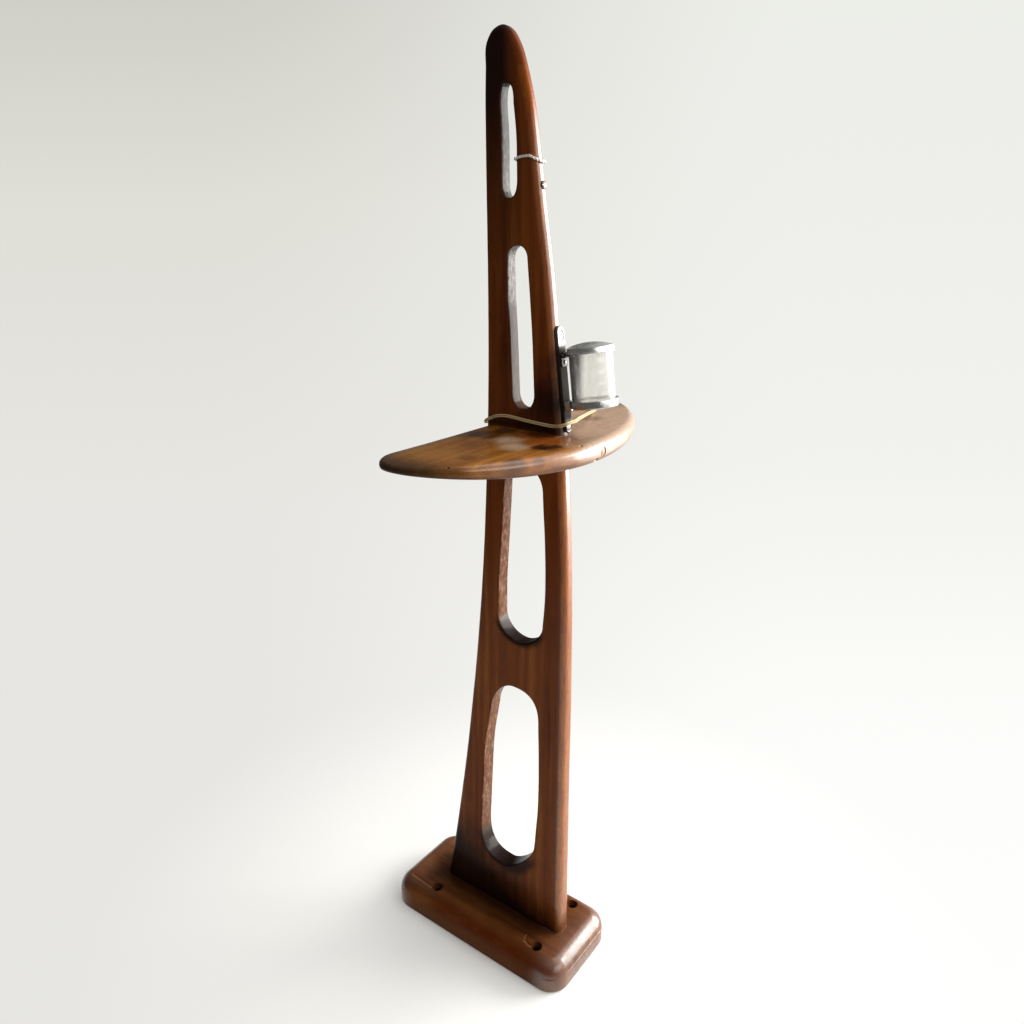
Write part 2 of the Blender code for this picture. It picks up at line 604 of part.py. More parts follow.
# ------------------------------------------------------------ pot: cup, washer, glass
pot_m = Matrix.Translation(Vector((POT_D, 0, 0)) * MM)
STEPS = 40
ci = CUP_R - CUP_WALL
cup = add("jar_cup", turned("jar_cup", (
    (0, CUP_LO + 1.2), (ci, CUP_LO + 1.2), (ci, CUP_HI - 0.3), (ci + 0.4, CUP_HI), (CUP_R - 0.3, CUP_HI),
    (CUP_R, CUP_HI - 0.4), (CUP_R, CUP_LO + 0.8), (CUP_R - 0.8, CUP_LO), (0, CUP_LO)), STEPS, pot_m),
    CUP_METAL, frame)
lug = cutter("add_cup_lug", box_mesh("add_cup_lug", (GAP, -STRAP_W / 2 + 0.2, LUG_LO),
                                     (POT_D - CUP_R + 1.2, STRAP_W / 2 - 0.2, LUG_HI), 0.3, 1), frame)
cut(cup, lug, 'UNION')
cut(cup, cutter("cut_cup_rivet", turned("c", ((0, 4.2), (1.5 + GAP, 4.2), (1.5 + GAP, -1), (0, -1)), 16,
                                        along_x(CUP_S)), frame))
settle(cup)
smooth(cup)
rivet = add("cup_rivet", turned("cup_rivet", (
    (0, 3.8), (1.3, 3.8), (1.5, 3.5), (1.5, -1.75), (2.65, -STRAP_T + 0.1), (0, -STRAP_T + 0.1)), 16,
    along_x(CUP_S)), DARK_STEEL, frame)
smooth(rivet)

washer = add("cup_washer", turned("cup_washer", (
    (0, CUP_LO + 2.6), (ci - 0.5, CUP_LO + 2.6), (ci - 0.5, CUP_LO + 1.5), (0, CUP_LO + 1.5)),
    32, pot_m), CORK, frame)
smooth(washer)
GLASS_LO, GLASS_HI = CUP_LO + 2.9, LID_LO + 2.3
gi = GLASS_R - GLASS_WALL
glass = add("jar_glass", turned("jar_glass", (
    (0, GLASS_LO + GLASS_FLOOR), (gi - 1.2, GLASS_LO + GLASS_FLOOR), (gi, GLASS_LO + GLASS_FLOOR + 1.2),
    (gi, GLASS_HI - 0.4), (gi + 0.4, GLASS_HI), (GLASS_R - 0.4, GLASS_HI), (GLASS_R, GLASS_HI - 0.4),
    (GLASS_R, GLASS_LO + 1.2), (GLASS_R - 1.2, GLASS_LO), (0, GLASS_LO)), STEPS, pot_m), GLASS, frame)
smooth(glass)

# ------------------------------------------------------------ lid, on the hinge's axis
hinge = bpy.data.objects.new("lid_hinge_axis", None)
PARTS.objects.link(hinge)
hinge.parent = frame
hinge.location = Vector((HINGE_D, 0, HINGE_S)) * MM
bpy.context.view_layer.update()
on_hinge = Matrix.Translation(-Vector((HINGE_D, 0, HINGE_S)) * MM)
li = LID_R - LID_WALL


def dome(r, base, height, radius):
    return base + height * (1 - (r / radius) ** 2)


outer = [(r, dome(r, LID_HI - 0.5, LID_DOME, LID_R - 0.8)) for r in (0, 4, 8, 12, 15.5, 18)]
outer += [(LID_R - 0.8, LID_HI - 0.45), (LID_R - 0.15, LID_HI - 0.9), (LID_R - 0.15, LID_LO + 1.3),
          (LID_R + 0.25, LID_LO + 0.9), (LID_R + 0.25, LID_LO + 0.2), (LID_R, LID_LO)]
inner = [(li, LID_LO), (li, LID_HI - 1.0)]
inner += [(r, dome(r, LID_HI - 1.3, LID_DOME - 0.2, LID_R - 0.8)) for r in (17.0, 12, 6, 0)]
lid = add("lid_cap", turned("lid_cap", outer + inner, STEPS, on_hinge @ pot_m), LID_METAL, hinge)
smooth(lid)
liner = add("lid_liner", turned("lid_liner", (
    (0, GLASS_HI + 1.2), (li - 0.5, GLASS_HI + 1.2), (li - 0.5, GLASS_HI + 0.35), (0, GLASS_HI + 0.35)),
    32, on_hinge @ pot_m), SEAL, hinge)
smooth(liner)


def knuckle(y0, y1, r=HINGE_R):
    m = Matrix.Translation(Vector((HINGE_D, 0, HINGE_S)) * MM) @ Matrix.Rotation(-math.pi / 2, 4, 'X')
    return turned("k", ((0, y1), (r, y1), (r, y0), (0, y0)), 20, m)


BORE = turned("bore", ((0, 8), (PIN_R + 0.3, 8), (PIN_R + 0.3, -8), (0, -8)), 16,
              Matrix.Translation(Vector((HINGE_D, 0, HINGE_S)) * MM) @ Matrix.Rotation(-math.pi / 2, 4, 'X'))
MIDW = 1.5
leaf_me = knuckle(-MIDW, MIDW)
leaf_me.transform(on_hinge)
leaf = add("lid_leaf", leaf_me, LEAF_METAL, hinge)
RIM_D = POT_D - LID_R - 0.25              # nearest point of the lid's bead to the strap
tab_me = joined("tab", [box_mesh("b", (HINGE_D + 1.6, -MIDW, HINGE_S - 1.2), (RIM_D - GAP, MIDW, HINGE_S + 0.6))])
tab_me.transform(on_hinge)
cut(leaf, cutter("add_leaf_tab", tab_me, hinge), 'UNION')
tongue_me = box_mesh("b", (RIM_D - GAP - 0.9, -2.6, HINGE_S - 1.2), (RIM_D - GAP, 2.6, HINGE_S + 4.6), 0.2, 1)
tongue_me.transform(on_hinge)
cut(leaf, cutter("add_leaf_tongue", tongue_me, hinge), 'UNION')
bore_me = BORE.copy()
bore_me.transform(on_hinge)
cut(leaf, cutter("cut_leaf_bore", bore_me, hinge))
settle(leaf)
smooth(leaf)

# ------------------------------------------------------------ hinge bracket, pin and rivet
HW = HINGE_W / 2
bracket = add("hinge_bracket", box_mesh("hinge_bracket", (GAP, -HW, HINGE_S - 10.0),
                                        (GAP + 1.1, HW, HINGE_S + 0.3), 0.25, 1), LEAF_METAL, frame)
cut(bracket, cutter("add_knuckles", joined("add_knuckles", [
    knuckle(-HW, -MIDW - GAP), knuckle(MIDW + GAP, HW)]), frame), 'UNION')
cut(bracket, cutter("cut_middle", box_mesh("b", (GAP - 2, -MIDW - GAP, HINGE_S - 2.9),
                                           (8, MIDW + GAP, HINGE_S + 4)), frame))
cut(bracket, cutter("cut_bracket_bore", BORE, frame))
cut(bracket, cutter("cut_bracket_rivet", turned("c", ((0, 3), (1.0 + GAP, 3), (1.0 + GAP, -1), (0, -1)), 14,
                                                along_x(RIVET_S)), frame))
settle(bracket)
smooth(bracket)
pin_m = Matrix.Translation(Vector((HINGE_D, 0, HINGE_S)) * MM) @ Matrix.Rotation(-math.pi / 2, 4, 'X')
pin = add("hinge_pin", turned("hinge_pin", (
    (0, HW + 1.1), (0.9, HW + 0.95), (1.5, HW + GAP + 0.1), (1.5, HW + GAP), (PIN_R, HW + GAP - 0.02),
    (PIN_R, -HW - 0.6), (PIN_R - 0.3, -HW - 0.9), (0, -HW - 1.0)), 16, pin_m), STEEL, frame)
smooth(pin)
LEAF_OUT = GAP + 1.1
hr = add("hinge_rivet", turned("hinge_rivet", (
    (0, LEAF_OUT + GAP + 0.9), (1.1, LEAF_OUT + GAP + 0.7), (1.9, LEAF_OUT + GAP), (1.0, LEAF_OUT + GAP - 0.02),
    (1.0, -STRAP_T + 0.1), (0, -STRAP_T + 0.1)), 14, along_x(RIVET_S)), STEEL, frame)
smooth(hr)

# ------------------------------------------------------------ small round-head screw in the edge
es = add("edge_screw", turned("edge_screw", (
    (0, 3.3), (1.4, 3.1), (2.6, 2.3), (3.4, 1.2), (3.5, GAP + 0.05), (1.4, GAP), (1.4, -9), (0.3, -13), (0, -13.3)),
    16, edge_m), DARK_STEEL)
slot_me = box_mesh("b", (-0.4, -6, 2.2), (0.4, 6, 5))
slot_me.transform(edge_m)
cut(es, cutter("cut_edge_slot", slot_me))
settle(es)
smooth(es)


# ------------------------------------------------------------ cord and thread
def loop_tube(name, pts, radius, mat, per=3):
    cu = bpy.data.curves.new(name, 'CURVE')
    cu.dimensions = '3D'
    cu.bevel_depth = radius * MM
    cu.bevel_resolution = 2
    path = spline_through(pts, per, closed=True)
    sp = cu.splines.new('POLY')
    sp.points.add(len(path) - 1)
    for q, p in zip(sp.points, path):
        q.co = (p.x * MM, p.y * MM, p.z * MM, 1.0)
    sp.use_cyclic_u = True
    tmp = bpy.data.objects.new(name + "_path", cu)
    CUTS.objects.link(tmp)
    me = evaluated_mesh(tmp)
    bpy.data.objects.remove(tmp)
    bm = bmesh.new()
    bm.from_mesh(me)
    bmesh.ops.remove_doubles(bm, verts=bm.verts, dist=1e-6)
    bmesh.ops.recalc_face_normals(bm, faces=bm.faces)
    bm.to_mesh(me)
    bm.free()
    ob = add(name, me, mat)
    smooth(ob, 60)
    return ob


# the cord lies round the foot of the upper blade, over the strap's lower end,
# and trails in a slack loop on the far half of the shelf
cy = blade_t(598) / 2 + CORD_R + 0.5
lz = SHELF_TOP + CORD_R + 0.4
loop_tube("tie_cord", (
    (-9.5, 0.0, 592.8), (-6.8, -7.0, 594.2), (2.1, -cy, 597.0), (8.4, -cy, 599.3), (17, -cy, 600.6),
    (27, -cy, 600.3), (39, -cy, 599.2), (50.8, -cy, 598.5), (62.5, -cy, 597.9), (71, -cy, 597.9),
    (78, -cy + 0.3, 599.2), (82.3, -6.2, 600.7), (82.8, 0, 601.4), (82.3, 5.5, 601.0), (74.2, 27, 598.9),
    (66, 49, 596.5), (58, 70, 594), (51, 90, lz + 0.2), (46.5, 102, lz), (39, 103, lz), (31, 93, lz),
    (20, 64, lz), (6, 34, lz + 0.2), (-4, 15, 592.4), (-9.2, 7, 592.6)), CORD_R, CORD)

# white thread through the top slot and round the blade's front edge
ty = blade_t(815) / 2 + THREAD_R + 0.5
tx = at(FRONT_EDGE, 813) + THREAD_R + 0.6
sx = 27.6 - THREAD_R - 0.5
loop_tube("tag_thread", (
    (sx, -4.0, 814.8), (sx + 0.8, -ty + 0.8, 815.4), (sx + 4.0, -ty, 816.2), (36, -ty, 817.0),
    (43, -ty, 816.8), (tx - 3.6, -ty + 0.5, 815.4), (tx - 0.2, -3.6, 813.4),
    (tx + 0.1, 0.0, 812.7), (tx - 0.2, 3.6, 812.8), (tx - 3.6, ty - 0.5, 813.6), (41, ty, 814.6),
    (32, ty, 814.8), (sx + 0.8, ty - 0.8, 814.6), (sx, 4.0, 814.4)), THREAD_R, THREAD, 2)
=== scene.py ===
import json
import math
import bpy
import bmesh
from mathutils import Matrix, Vector, noise

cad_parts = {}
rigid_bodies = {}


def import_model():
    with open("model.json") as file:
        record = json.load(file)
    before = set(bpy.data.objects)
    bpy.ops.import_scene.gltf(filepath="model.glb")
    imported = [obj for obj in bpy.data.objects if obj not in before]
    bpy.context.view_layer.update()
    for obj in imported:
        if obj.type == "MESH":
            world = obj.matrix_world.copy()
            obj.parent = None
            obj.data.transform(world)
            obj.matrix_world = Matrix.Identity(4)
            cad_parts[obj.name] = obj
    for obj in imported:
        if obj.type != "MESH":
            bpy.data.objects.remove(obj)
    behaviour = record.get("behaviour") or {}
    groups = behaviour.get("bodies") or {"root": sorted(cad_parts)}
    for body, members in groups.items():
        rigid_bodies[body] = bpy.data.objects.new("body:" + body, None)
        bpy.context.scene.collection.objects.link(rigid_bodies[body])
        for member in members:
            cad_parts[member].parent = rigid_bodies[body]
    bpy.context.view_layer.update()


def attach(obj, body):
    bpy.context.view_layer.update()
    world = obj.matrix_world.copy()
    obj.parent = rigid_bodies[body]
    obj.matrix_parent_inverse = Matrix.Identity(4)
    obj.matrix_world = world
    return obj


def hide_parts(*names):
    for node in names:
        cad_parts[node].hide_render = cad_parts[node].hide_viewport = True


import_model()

MM = 0.001

# ------------------------------------------------------------ dimensions (mm), as in the frame
HEIGHT, GAP = 915.0, 0.35
PLINTH_X0, PLINTH_X1, PLINTH_Y, PLINTH_Z = -119.0, 114.6, 110.0, 34.0
PLINTH_CORNER, PLINTH_STEP_Z, PLINTH_STEP = 23.0, 18.6, 0.9
PLINTH_TOP_ROUND, PLINTH_FOOT_ROUND = 14.0, 3.0
HOLE_X, HOLE_Y = (-64.3, 76.5), 35.8
HOLE_R, HOLE_MOUTH_R, HOLE_MOUTH_DEPTH = 3.0, 5.6, 5.5
BLADE_T_FOOT, BLADE_T_TIP = 21.2, 11.8
BLADE_EDGE_ROUND = 6.4
BACK_EDGE = ((16, -74.5), (107, -57.8), (196, -43.4), (304, -28.8), (402, -18.2),
             (500, -11.0), (610, -6.4), (720, -5.2), (820, -6.1), (884, -5.6))
FRONT_EDGE = ((16, 88.2), (180, 87.7), (347, 87.3), (432, 86.3), (511, 82.9), (552, 80.3),
              (594, 77.3), (636, 72.3), (678, 67.3), (730, 61.0), (783, 52.6), (830, 45.7),
              (857, 41.0), (882, 34.2))
NOSE = ((26.4, 902), (19.6, 911), (11.5, 915), (2.2, 912.4), (-4.4, 904))
SLOTS = (
    (((800, 12.9, 27.8), (838, 12.6, 26.4), (857, 11.2, 24.0)), (16.0, 872.5), (20.0, 786.0),
     (2.6, 2.8, 2.4, 2.4)),
    (((622, 23.4, 47.3), (671, 21.3, 44.6), (710, 18.9, 41.4), (736, 18.2, 38.9)),
     (28.5, 748.0), (35.5, 608.0), (2.15, 2.15, 2.15, 2.15)),
    (((396, 6.8, 59.7), (428, 7.4, 61.7), (480, 10.8, 61.1), (531, 14.2, 58.0)),
     (35.0, 556.0), (33.5, 372.8), (2.2, 2.15, 2.0, 1.6)),
    (((132, -18.6, 53.2), (188, -15.2, 57.0), (251, -9.8, 57.0), (286, -3.4, 56.3)),
     (25.0, 320.3), (14.5, 89.8), (2.7, 1.75, 2.9, 1.4)),
)
TENON_X, TENON_T, TENON_DEPTH = (-50.0, 66.0), 12.0, 18.0
FOOT_SCREW_X = (-36.0, 52.0)
SHELF_TOP, SHELF_BACK, SHELF_REACH, SHELF_HALF = 589.8, -6.2, 122.6, 174.1
SHELF_POWER, SHELF_TIP_R, SHELF_T_MID, SHELF_T_TIP, SHELF_T_POWER = 1.93, 30.2, 19.2, 3.0, 0.65
STRAP_FOOT, STRAP_LEAN = (81.4, 591.8), 7.15
STRAP_L, STRAP_W, STRAP_T, STRAP_TIP_R = 92.4, 10.8, 2.8, 3.5
STRAP_SCREWS, HEADS = (5.8, 84.0), (3.3, 3.9)
POT_D = 27.7
CUP_R, CUP_WALL, CUP_LO, CUP_HI = 20.95, 1.5, 23.0, 29.8
LUG_LO, LUG_HI = 20.4, 28.2
GLASS_R, GLASS_WALL, GLASS_FLOOR = 18.75, 1.5, 2.0
LID_R, LID_WALL, LID_LO, LID_HI, LID_DOME = 20.05, 0.85, 68.7, 74.4, 3.4
HINGE_D, HINGE_S, HINGE_R, HINGE_W, PIN_R = 3.2, 67.7, 2.4, 9.6, 1.05
CORD_R, THREAD_R, EDGE_SCREW_Z = 1.4, 0.85, 795.0
SCREW_R, FOOT_HEAD, PLUG_R = 1.9, 4.6, 4.4

# ------------------------------------------------------------ collections
SHOW = bpy.data.collections.new("looks")
WORK = bpy.data.collections.new("work")
for col in (SHOW, WORK):
    bpy.context.scene.collection.children.link(col)


# ------------------------------------------------------------ mesh helpers
def evaluated_mesh(ob):
    bpy.context.view_layer.update()
    dg = bpy.context.evaluated_depsgraph_get()
    return bpy.data.meshes.new_from_object(ob.evaluated_get(dg))


def spline_through(pts, per, closed=False):
    P = [Vector(p) for p in pts]
    n = len(P)
    out = []
    for i in range(n if closed else n - 1):
        p1, p2 = P[i], P[(i + 1) % n]
        p0 = P[(i - 1) % n] if (closed or i > 0) else p1 - (p2 - p1)
        p3 = P[(i + 2) % n] if (closed or i + 2 < n) else p2 + (p2 - p1)
        d01, d12, d23 = (p1 - p0).length, (p2 - p1).length, (p3 - p2).length
        t1 = ((p1 - p0) / d01 - (p2 - p0) / (d01 + d12) + (p2 - p1) / d12) * d12
        t2 = ((p2 - p1) / d12 - (p3 - p1) / (d12 + d23) + (p3 - p2) / d23) * d12
        for k in range(per):
            u = k / per
            out.append(p1 * (2 * u**3 - 3 * u**2 + 1) + t1 * (u**3 - 2 * u**2 + u)
                       + p2 * (3 * u**2 - 2 * u**3) + t2 * (u**3 - u**2))
    if not closed:
        out.append(P[-1])
    return out


def flat_mesh(name, loops, half, plane='XY', centre=0.0):
    cu = bpy.data.curves.new(name, 'CURVE')
    cu.dimensions = '2D'
    cu.fill_mode = 'BOTH'
    cu.extrude = half * MM
    for pts in loops:
        sp = cu.splines.new('POLY')
        sp.points.add(len(pts) - 1)
        for q, p in zip(sp.points, pts):
            q.co = (p[0] * MM, p[1] * MM, 0.0, 1.0)
        sp.use_cyclic_u = True
    ob = bpy.data.objects.new(name, cu)
    WORK.objects.link(ob)
    me = evaluated_mesh(ob)
    bpy.data.objects.remove(ob)
    bm = bmesh.new()
    bm.from_mesh(me)
    bmesh.ops.remove_doubles(bm, verts=bm.verts, dist=1e-6)
    if len(loops) == 1:
        inner = [e for e in bm.edges if len(e.link_faces) == 2
                 and all(abs(f.normal.z) > 0.999 for f in e.link_faces)]
        bmesh.ops.dissolve_edges(bm, edges=inner, use_verts=False)
    turn = {'XY': Matrix.Identity(4),
            'XZ': Matrix.Rotation(math.pi / 2, 4, 'X'),
            'YZ': Matrix(((0, 0, 1, 0), (1, 0, 0, 0), (0, 1, 0, 0), (0, 0, 0, 1)))}[plane]
    shift = {'XY': (0, 0, centre), 'XZ': (0, centre, 0), 'YZ': (centre, 0, 0)}[plane]
    bmesh.ops.transform(bm, matrix=Matrix.Translation(Vector(shift) * MM) @ turn, verts=bm.verts)
    bmesh.ops.recalc_face_normals(bm, faces=bm.faces)
    bm.to_mesh(me)
    bm.free()
    return me


def turned(name, profile, steps, matrix=None):
    """Turned solid from a closed half profile that starts and ends on the axis."""
    me = bpy.data.meshes.new(name)
    bm = bmesh.new()
    rings = []
    for r, z in profile:
        if r < 1e-9:
            rings.append([bm.verts.new((0, 0, z * MM))])
        else:
            rings.append([bm.verts.new((r * MM * math.cos(2 * math.pi * k / steps),
                                        r * MM * math.sin(2 * math.pi * k / steps), z * MM))
                          for k in range(steps)])
    for a, b in zip(rings, rings[1:]):
        for k in range(steps):
            j = (k + 1) % steps
            if len(a) == 1 and len(b) == 1:
                continue
            if len(a) == 1:
                bm.faces.new((a[0], b[j], b[k]))
            elif len(b) == 1:
                bm.faces.new((a[k], a[j], b[0]))
            else:
                bm.faces.new((a[k], a[j], b[j], b[k]))
    bmesh.ops.recalc_face_normals(bm, faces=bm.faces)
    if matrix is not None:
        bmesh.ops.transform(bm, matrix=matrix, verts=bm.verts)
    bm.to_mesh(me)
    bm.free()
    return me


def eased(profile, r=0.2, n=3):
    """Rounds the corners of a profile."""
    P = [Vector(p) for p in profile]
    out = [P[0]]
    for i in range(1, len(P) - 1):
        a, b = P[i - 1] - P[i], P[i + 1] - P[i]
        la, lb = a.length, b.length
        if la < 1e-6 or lb < 1e-6:
            continue
        turn = math.pi - a.angle(b)
        if turn < 0.25:
            out.append(P[i])
            continue
        d = min(r, la * 0.42, lb * 0.42)
        p, q = P[i] + a / la * d, P[i] + b / lb * d
        for k in range(n + 1):
            t = k / n
            out.append(p * (1 - t) ** 2 + P[i] * 2 * t * (1 - t) + q * t * t)
    out.append(P[-1])
    return [(p.x, p.y) for p in out]


def box_mesh(name, lo, hi, bevel=0.0, segments=2):
    bm = bmesh.new()
    bmesh.ops.create_cube(bm, size=1.0)
    lo, hi = Vector(lo) * MM, Vector(hi) * MM
    for v in bm.verts:
        v.co = Vector(((hi[i] + lo[i]) / 2 + v.co[i] * (hi[i] - lo[i]) for i in range(3)))
    if bevel:
        bmesh.ops.bevel(bm, geom=bm.edges[:], offset=bevel * MM, segments=segments,
                        profile=0.5, affect='EDGES')
    me = bpy.data.meshes.new(name)
    bm.to_mesh(me)
    bm.free()
    return me


def joined(name, meshes):
    bm = bmesh.new()
    for me in meshes:
        bm.from_mesh(me)
    out = bpy.data.meshes.new(name)
    bm.to_mesh(out)
    bm.free()
    return out


def smooth(me, angle=35.0):
    me.shade_smooth()
    me.set_sharp_from_angle(angle=math.radians(angle))


def working(name, me):
    ob = bpy.data.objects.new(name, me)
    WORK.objects.link(ob)
    return ob


def carve(ob, me, op='DIFFERENCE'):
    """Applies one EXACT Boolean to the object."""
    tool = working("tool", me)
    m = ob.modifiers.new("b", 'BOOLEAN')
    m.operation = op
    m.solver = 'EXACT'
    m.object = tool
    out = evaluated_mesh(ob)
    ob.modifiers.clear()
    ob.data = out
    bpy.data.objects.remove(tool)
    return ob


def clean(me, dist=2e-6):
    bm = bmesh.new()
    bm.from_mesh(me)
    bmesh.ops.remove_doubles(bm, verts=bm.verts, dist=dist)
    bmesh.ops.dissolve_degenerate(bm, edges=bm.edges, dist=1e-6)
    bm.to_mesh(me)
    bm.free()


def soften(ob, width, segments, angle):
    m = ob.modifiers.new("s", 'BEVEL')
    m.limit_method = 'ANGLE'
    m.angle_limit = math.radians(angle)
    m.width = width * MM
    m.segments = segments
    out = evaluated_mesh(ob)
    ob.modifiers.clear()
    ob.data = out


def sliced(me, axis, step, lo, hi):
    """Cuts a mesh across one axis every step mm, so that its flats carry vertices."""
    bm = bmesh.new()
    bm.from_mesh(me)
    no = Vector((0, 0, 0))
    no[axis] = 1.0
    x = lo + step / 2
    while x < hi:
        co = Vector((0, 0, 0))
        co[axis] = x * MM
        bmesh.ops.bisect_plane(bm, geom=bm.verts[:] + bm.edges[:] + bm.faces[:], dist=1e-7,
                               plane_co=co, plane_no=no)
        x += step
    bm.to_mesh(me)
    bm.free()


def undulate(me, layers, mask=None):
    """Moves the vertices along their normals by smooth noise: (amplitude mm, size mm, seed)."""
    bm = bmesh.new()
    bm.from_mesh(me)
    bm.normal_update()
    for v in bm.verts:
        d = 0.0
        for amp, size, seed in layers:
            d += amp * noise.noise(v.co / (size * MM) + Vector((seed, seed * 1.7, seed * 0.3)))
        if mask:
            d *= mask(v.co, v.normal)
        v.co += v.normal * d * MM
    bm.to_mesh(me)
    bm.free()


def blade_t(z):
    u = (z - PLINTH_Z) / (HEIGHT - PLINTH_Z)
    return BLADE_T_FOOT + (BLADE_T_TIP - BLADE_T_FOOT) * u


_at = {}


def at(stations, z):
    if stations not in _at:
        _at[stations] = spline_through([(x, h) for h, x in stations], 16)
    pts = _at[stations]
    for a, b in zip(pts, pts[1:]):
        if a.y <= z <= b.y:
            return a.x + (b.x - a.x) * (z - a.y) / (b.y - a.y)
    return pts[-1].x


# ------------------------------------------------------------ node helpers
class Shade:
    """A small wrapper for building a node tree."""

    def __init__(self, name):
        self.m = bpy.data.materials.new(name)
        self.m.use_nodes = True
        self.t = self.m.node_tree
        self.b = self.t.nodes["Principled BSDF"]
        self.out = self.t.nodes["Material Output"]

    def node(self, kind, **props):
        n = self.t.nodes.new(kind)
        for k, v in props.items():
            setattr(n, k, v)
        return n

    def put(self, socket, value):
        if value is None:
            return
        if isinstance(value, bpy.types.NodeSocket):
            self.t.links.new(value, socket)
        elif isinstance(value, (tuple, list)):
            socket.default_value = (*value, 1.0) if len(value) == 3 and socket.type == 'RGBA' else value
        else:
            socket.default_value = value

    def coords(self):
        return self.node("ShaderNodeTexCoord").outputs["Object"]

    def xyz(self, v):
        n = self.node("ShaderNodeSeparateXYZ")
        self.put(n.inputs[0], v)
        return n.outputs

    def vec(self, x, y, z):
        n = self.node("ShaderNodeCombineXYZ")
        for i, v in enumerate((x, y, z)):
            self.put(n.inputs[i], v)
        return n.outputs[0]

    def math(self, op, a, b=None, c=None, clamp=False):
        n = self.node("ShaderNodeMath", operation=op, use_clamp=clamp)
        for i, v in enumerate((a, b, c)):
            self.put(n.inputs[i], v)
        return n.outputs[0]

    def vmath(self, op, a, b=None, out=0):
        n = self.node("ShaderNodeVectorMath", operation=op)
        self.put(n.inputs[0], a)
        if b is not None:
            self.put(n.inputs[1], b)
        return n.outputs[out]

    def noise(self, v, scale=1.0, detail=4.0, rough=0.55, dist=0.0, color=False):
        n = self.node("ShaderNodeTexNoise")
        self.put(n.inputs["Vector"], v)
        n.inputs["Scale"].default_value = scale
        n.inputs["Detail"].default_value = detail
        n.inputs["Roughness"].default_value = rough
        n.inputs["Distortion"].default_value = dist
        return n.outputs["Color" if color else "Fac"]

    def wave(self, v, scale, distortion=2.0, detail=2.0, dscale=1.0, axis='X'):
        n = self.node("ShaderNodeTexWave", wave_type='BANDS', bands_direction=axis, wave_profile='SIN')
        self.put(n.inputs["Vector"], v)
        n.inputs["Scale"].default_value = scale
        n.inputs["Distortion"].default_value = distortion
        n.inputs["Detail"].default_value = detail
        n.inputs["Detail Scale"].default_value = dscale
        return n.outputs["Fac"]

    def voronoi(self, v, scale, feature='F1'):
        n = self.node("ShaderNodeTexVoronoi", feature=feature)
        self.put(n.inputs["Vector"], v)
        n.inputs["Scale"].default_value = scale
        return n.outputs["Distance"]

    def span(self, v, a, b, c=0.0, d=1.0, smooth=True):
        n = self.node("ShaderNodeMapRange", interpolation_type='SMOOTHSTEP' if smooth else 'LINEAR')
        for i, x in enumerate((v, a, b, c, d)):
            self.put(n.inputs[i], x)
        return n.outputs[0]

    def ramp(self, fac, stops, interp='EASE'):
        n = self.node("ShaderNodeValToRGB")
        cr = n.color_ramp
        cr.interpolation = interp
        while len(cr.elements) < len(stops):
            cr.elements.new(0.5)
        for e, (p, c) in zip(cr.elements, stops):
            e.position = p
            e.color = (*c, 1.0)
        self.put(n.inputs[0], fac)
        return n.outputs[0]

    def mix(self, fac, a, b, blend='MIX'):
        n = self.node("ShaderNodeMix", data_type='RGBA', blend_type=blend)
        n.clamp_factor = True
        self.put(n.inputs[0], fac)
        self.put(n.inputs[6], a)
        self.put(n.inputs[7], b)
        return n.outputs[2]

    def bump(self, height, strength=0.3, dist=0.001, normal=None):
        n = self.node("ShaderNodeBump")
        n.inputs["Strength"].default_value = strength
        n.inputs["Distance"].default_value = dist
        self.put(n.inputs["Height"], height)
        if normal is not None:
            self.put(n.inputs["Normal"], normal)
        return n.outputs[0]

    def near(self, p, centre_mm, radius_mm, warp=None, soft=0.55):
        """1 inside a blot round a point, 0 outside, with a ragged border."""
        d = self.vmath('DISTANCE', p, tuple(c * MM for c in centre_mm), out=1)
        if warp is not None:
            d = self.math('ADD', d, self.math('MULTIPLY', self.math('SUBTRACT', warp, 0.5), radius_mm * MM * 1.1))
        return self.span(d, radius_mm * MM * soft, radius_mm * MM, 1.0, 0.0)

    def attribute(self, name):
        return self.node("ShaderNodeAttribute", attribute_name=name).outputs["Fac"]


def srgb(r, g, b):
    def f(c):
        c /= 255.0
        return c / 12.92 if c <= 0.04045 else ((c + 0.055) / 1.055) ** 2.4
    return (f(r), f(g), f(b))


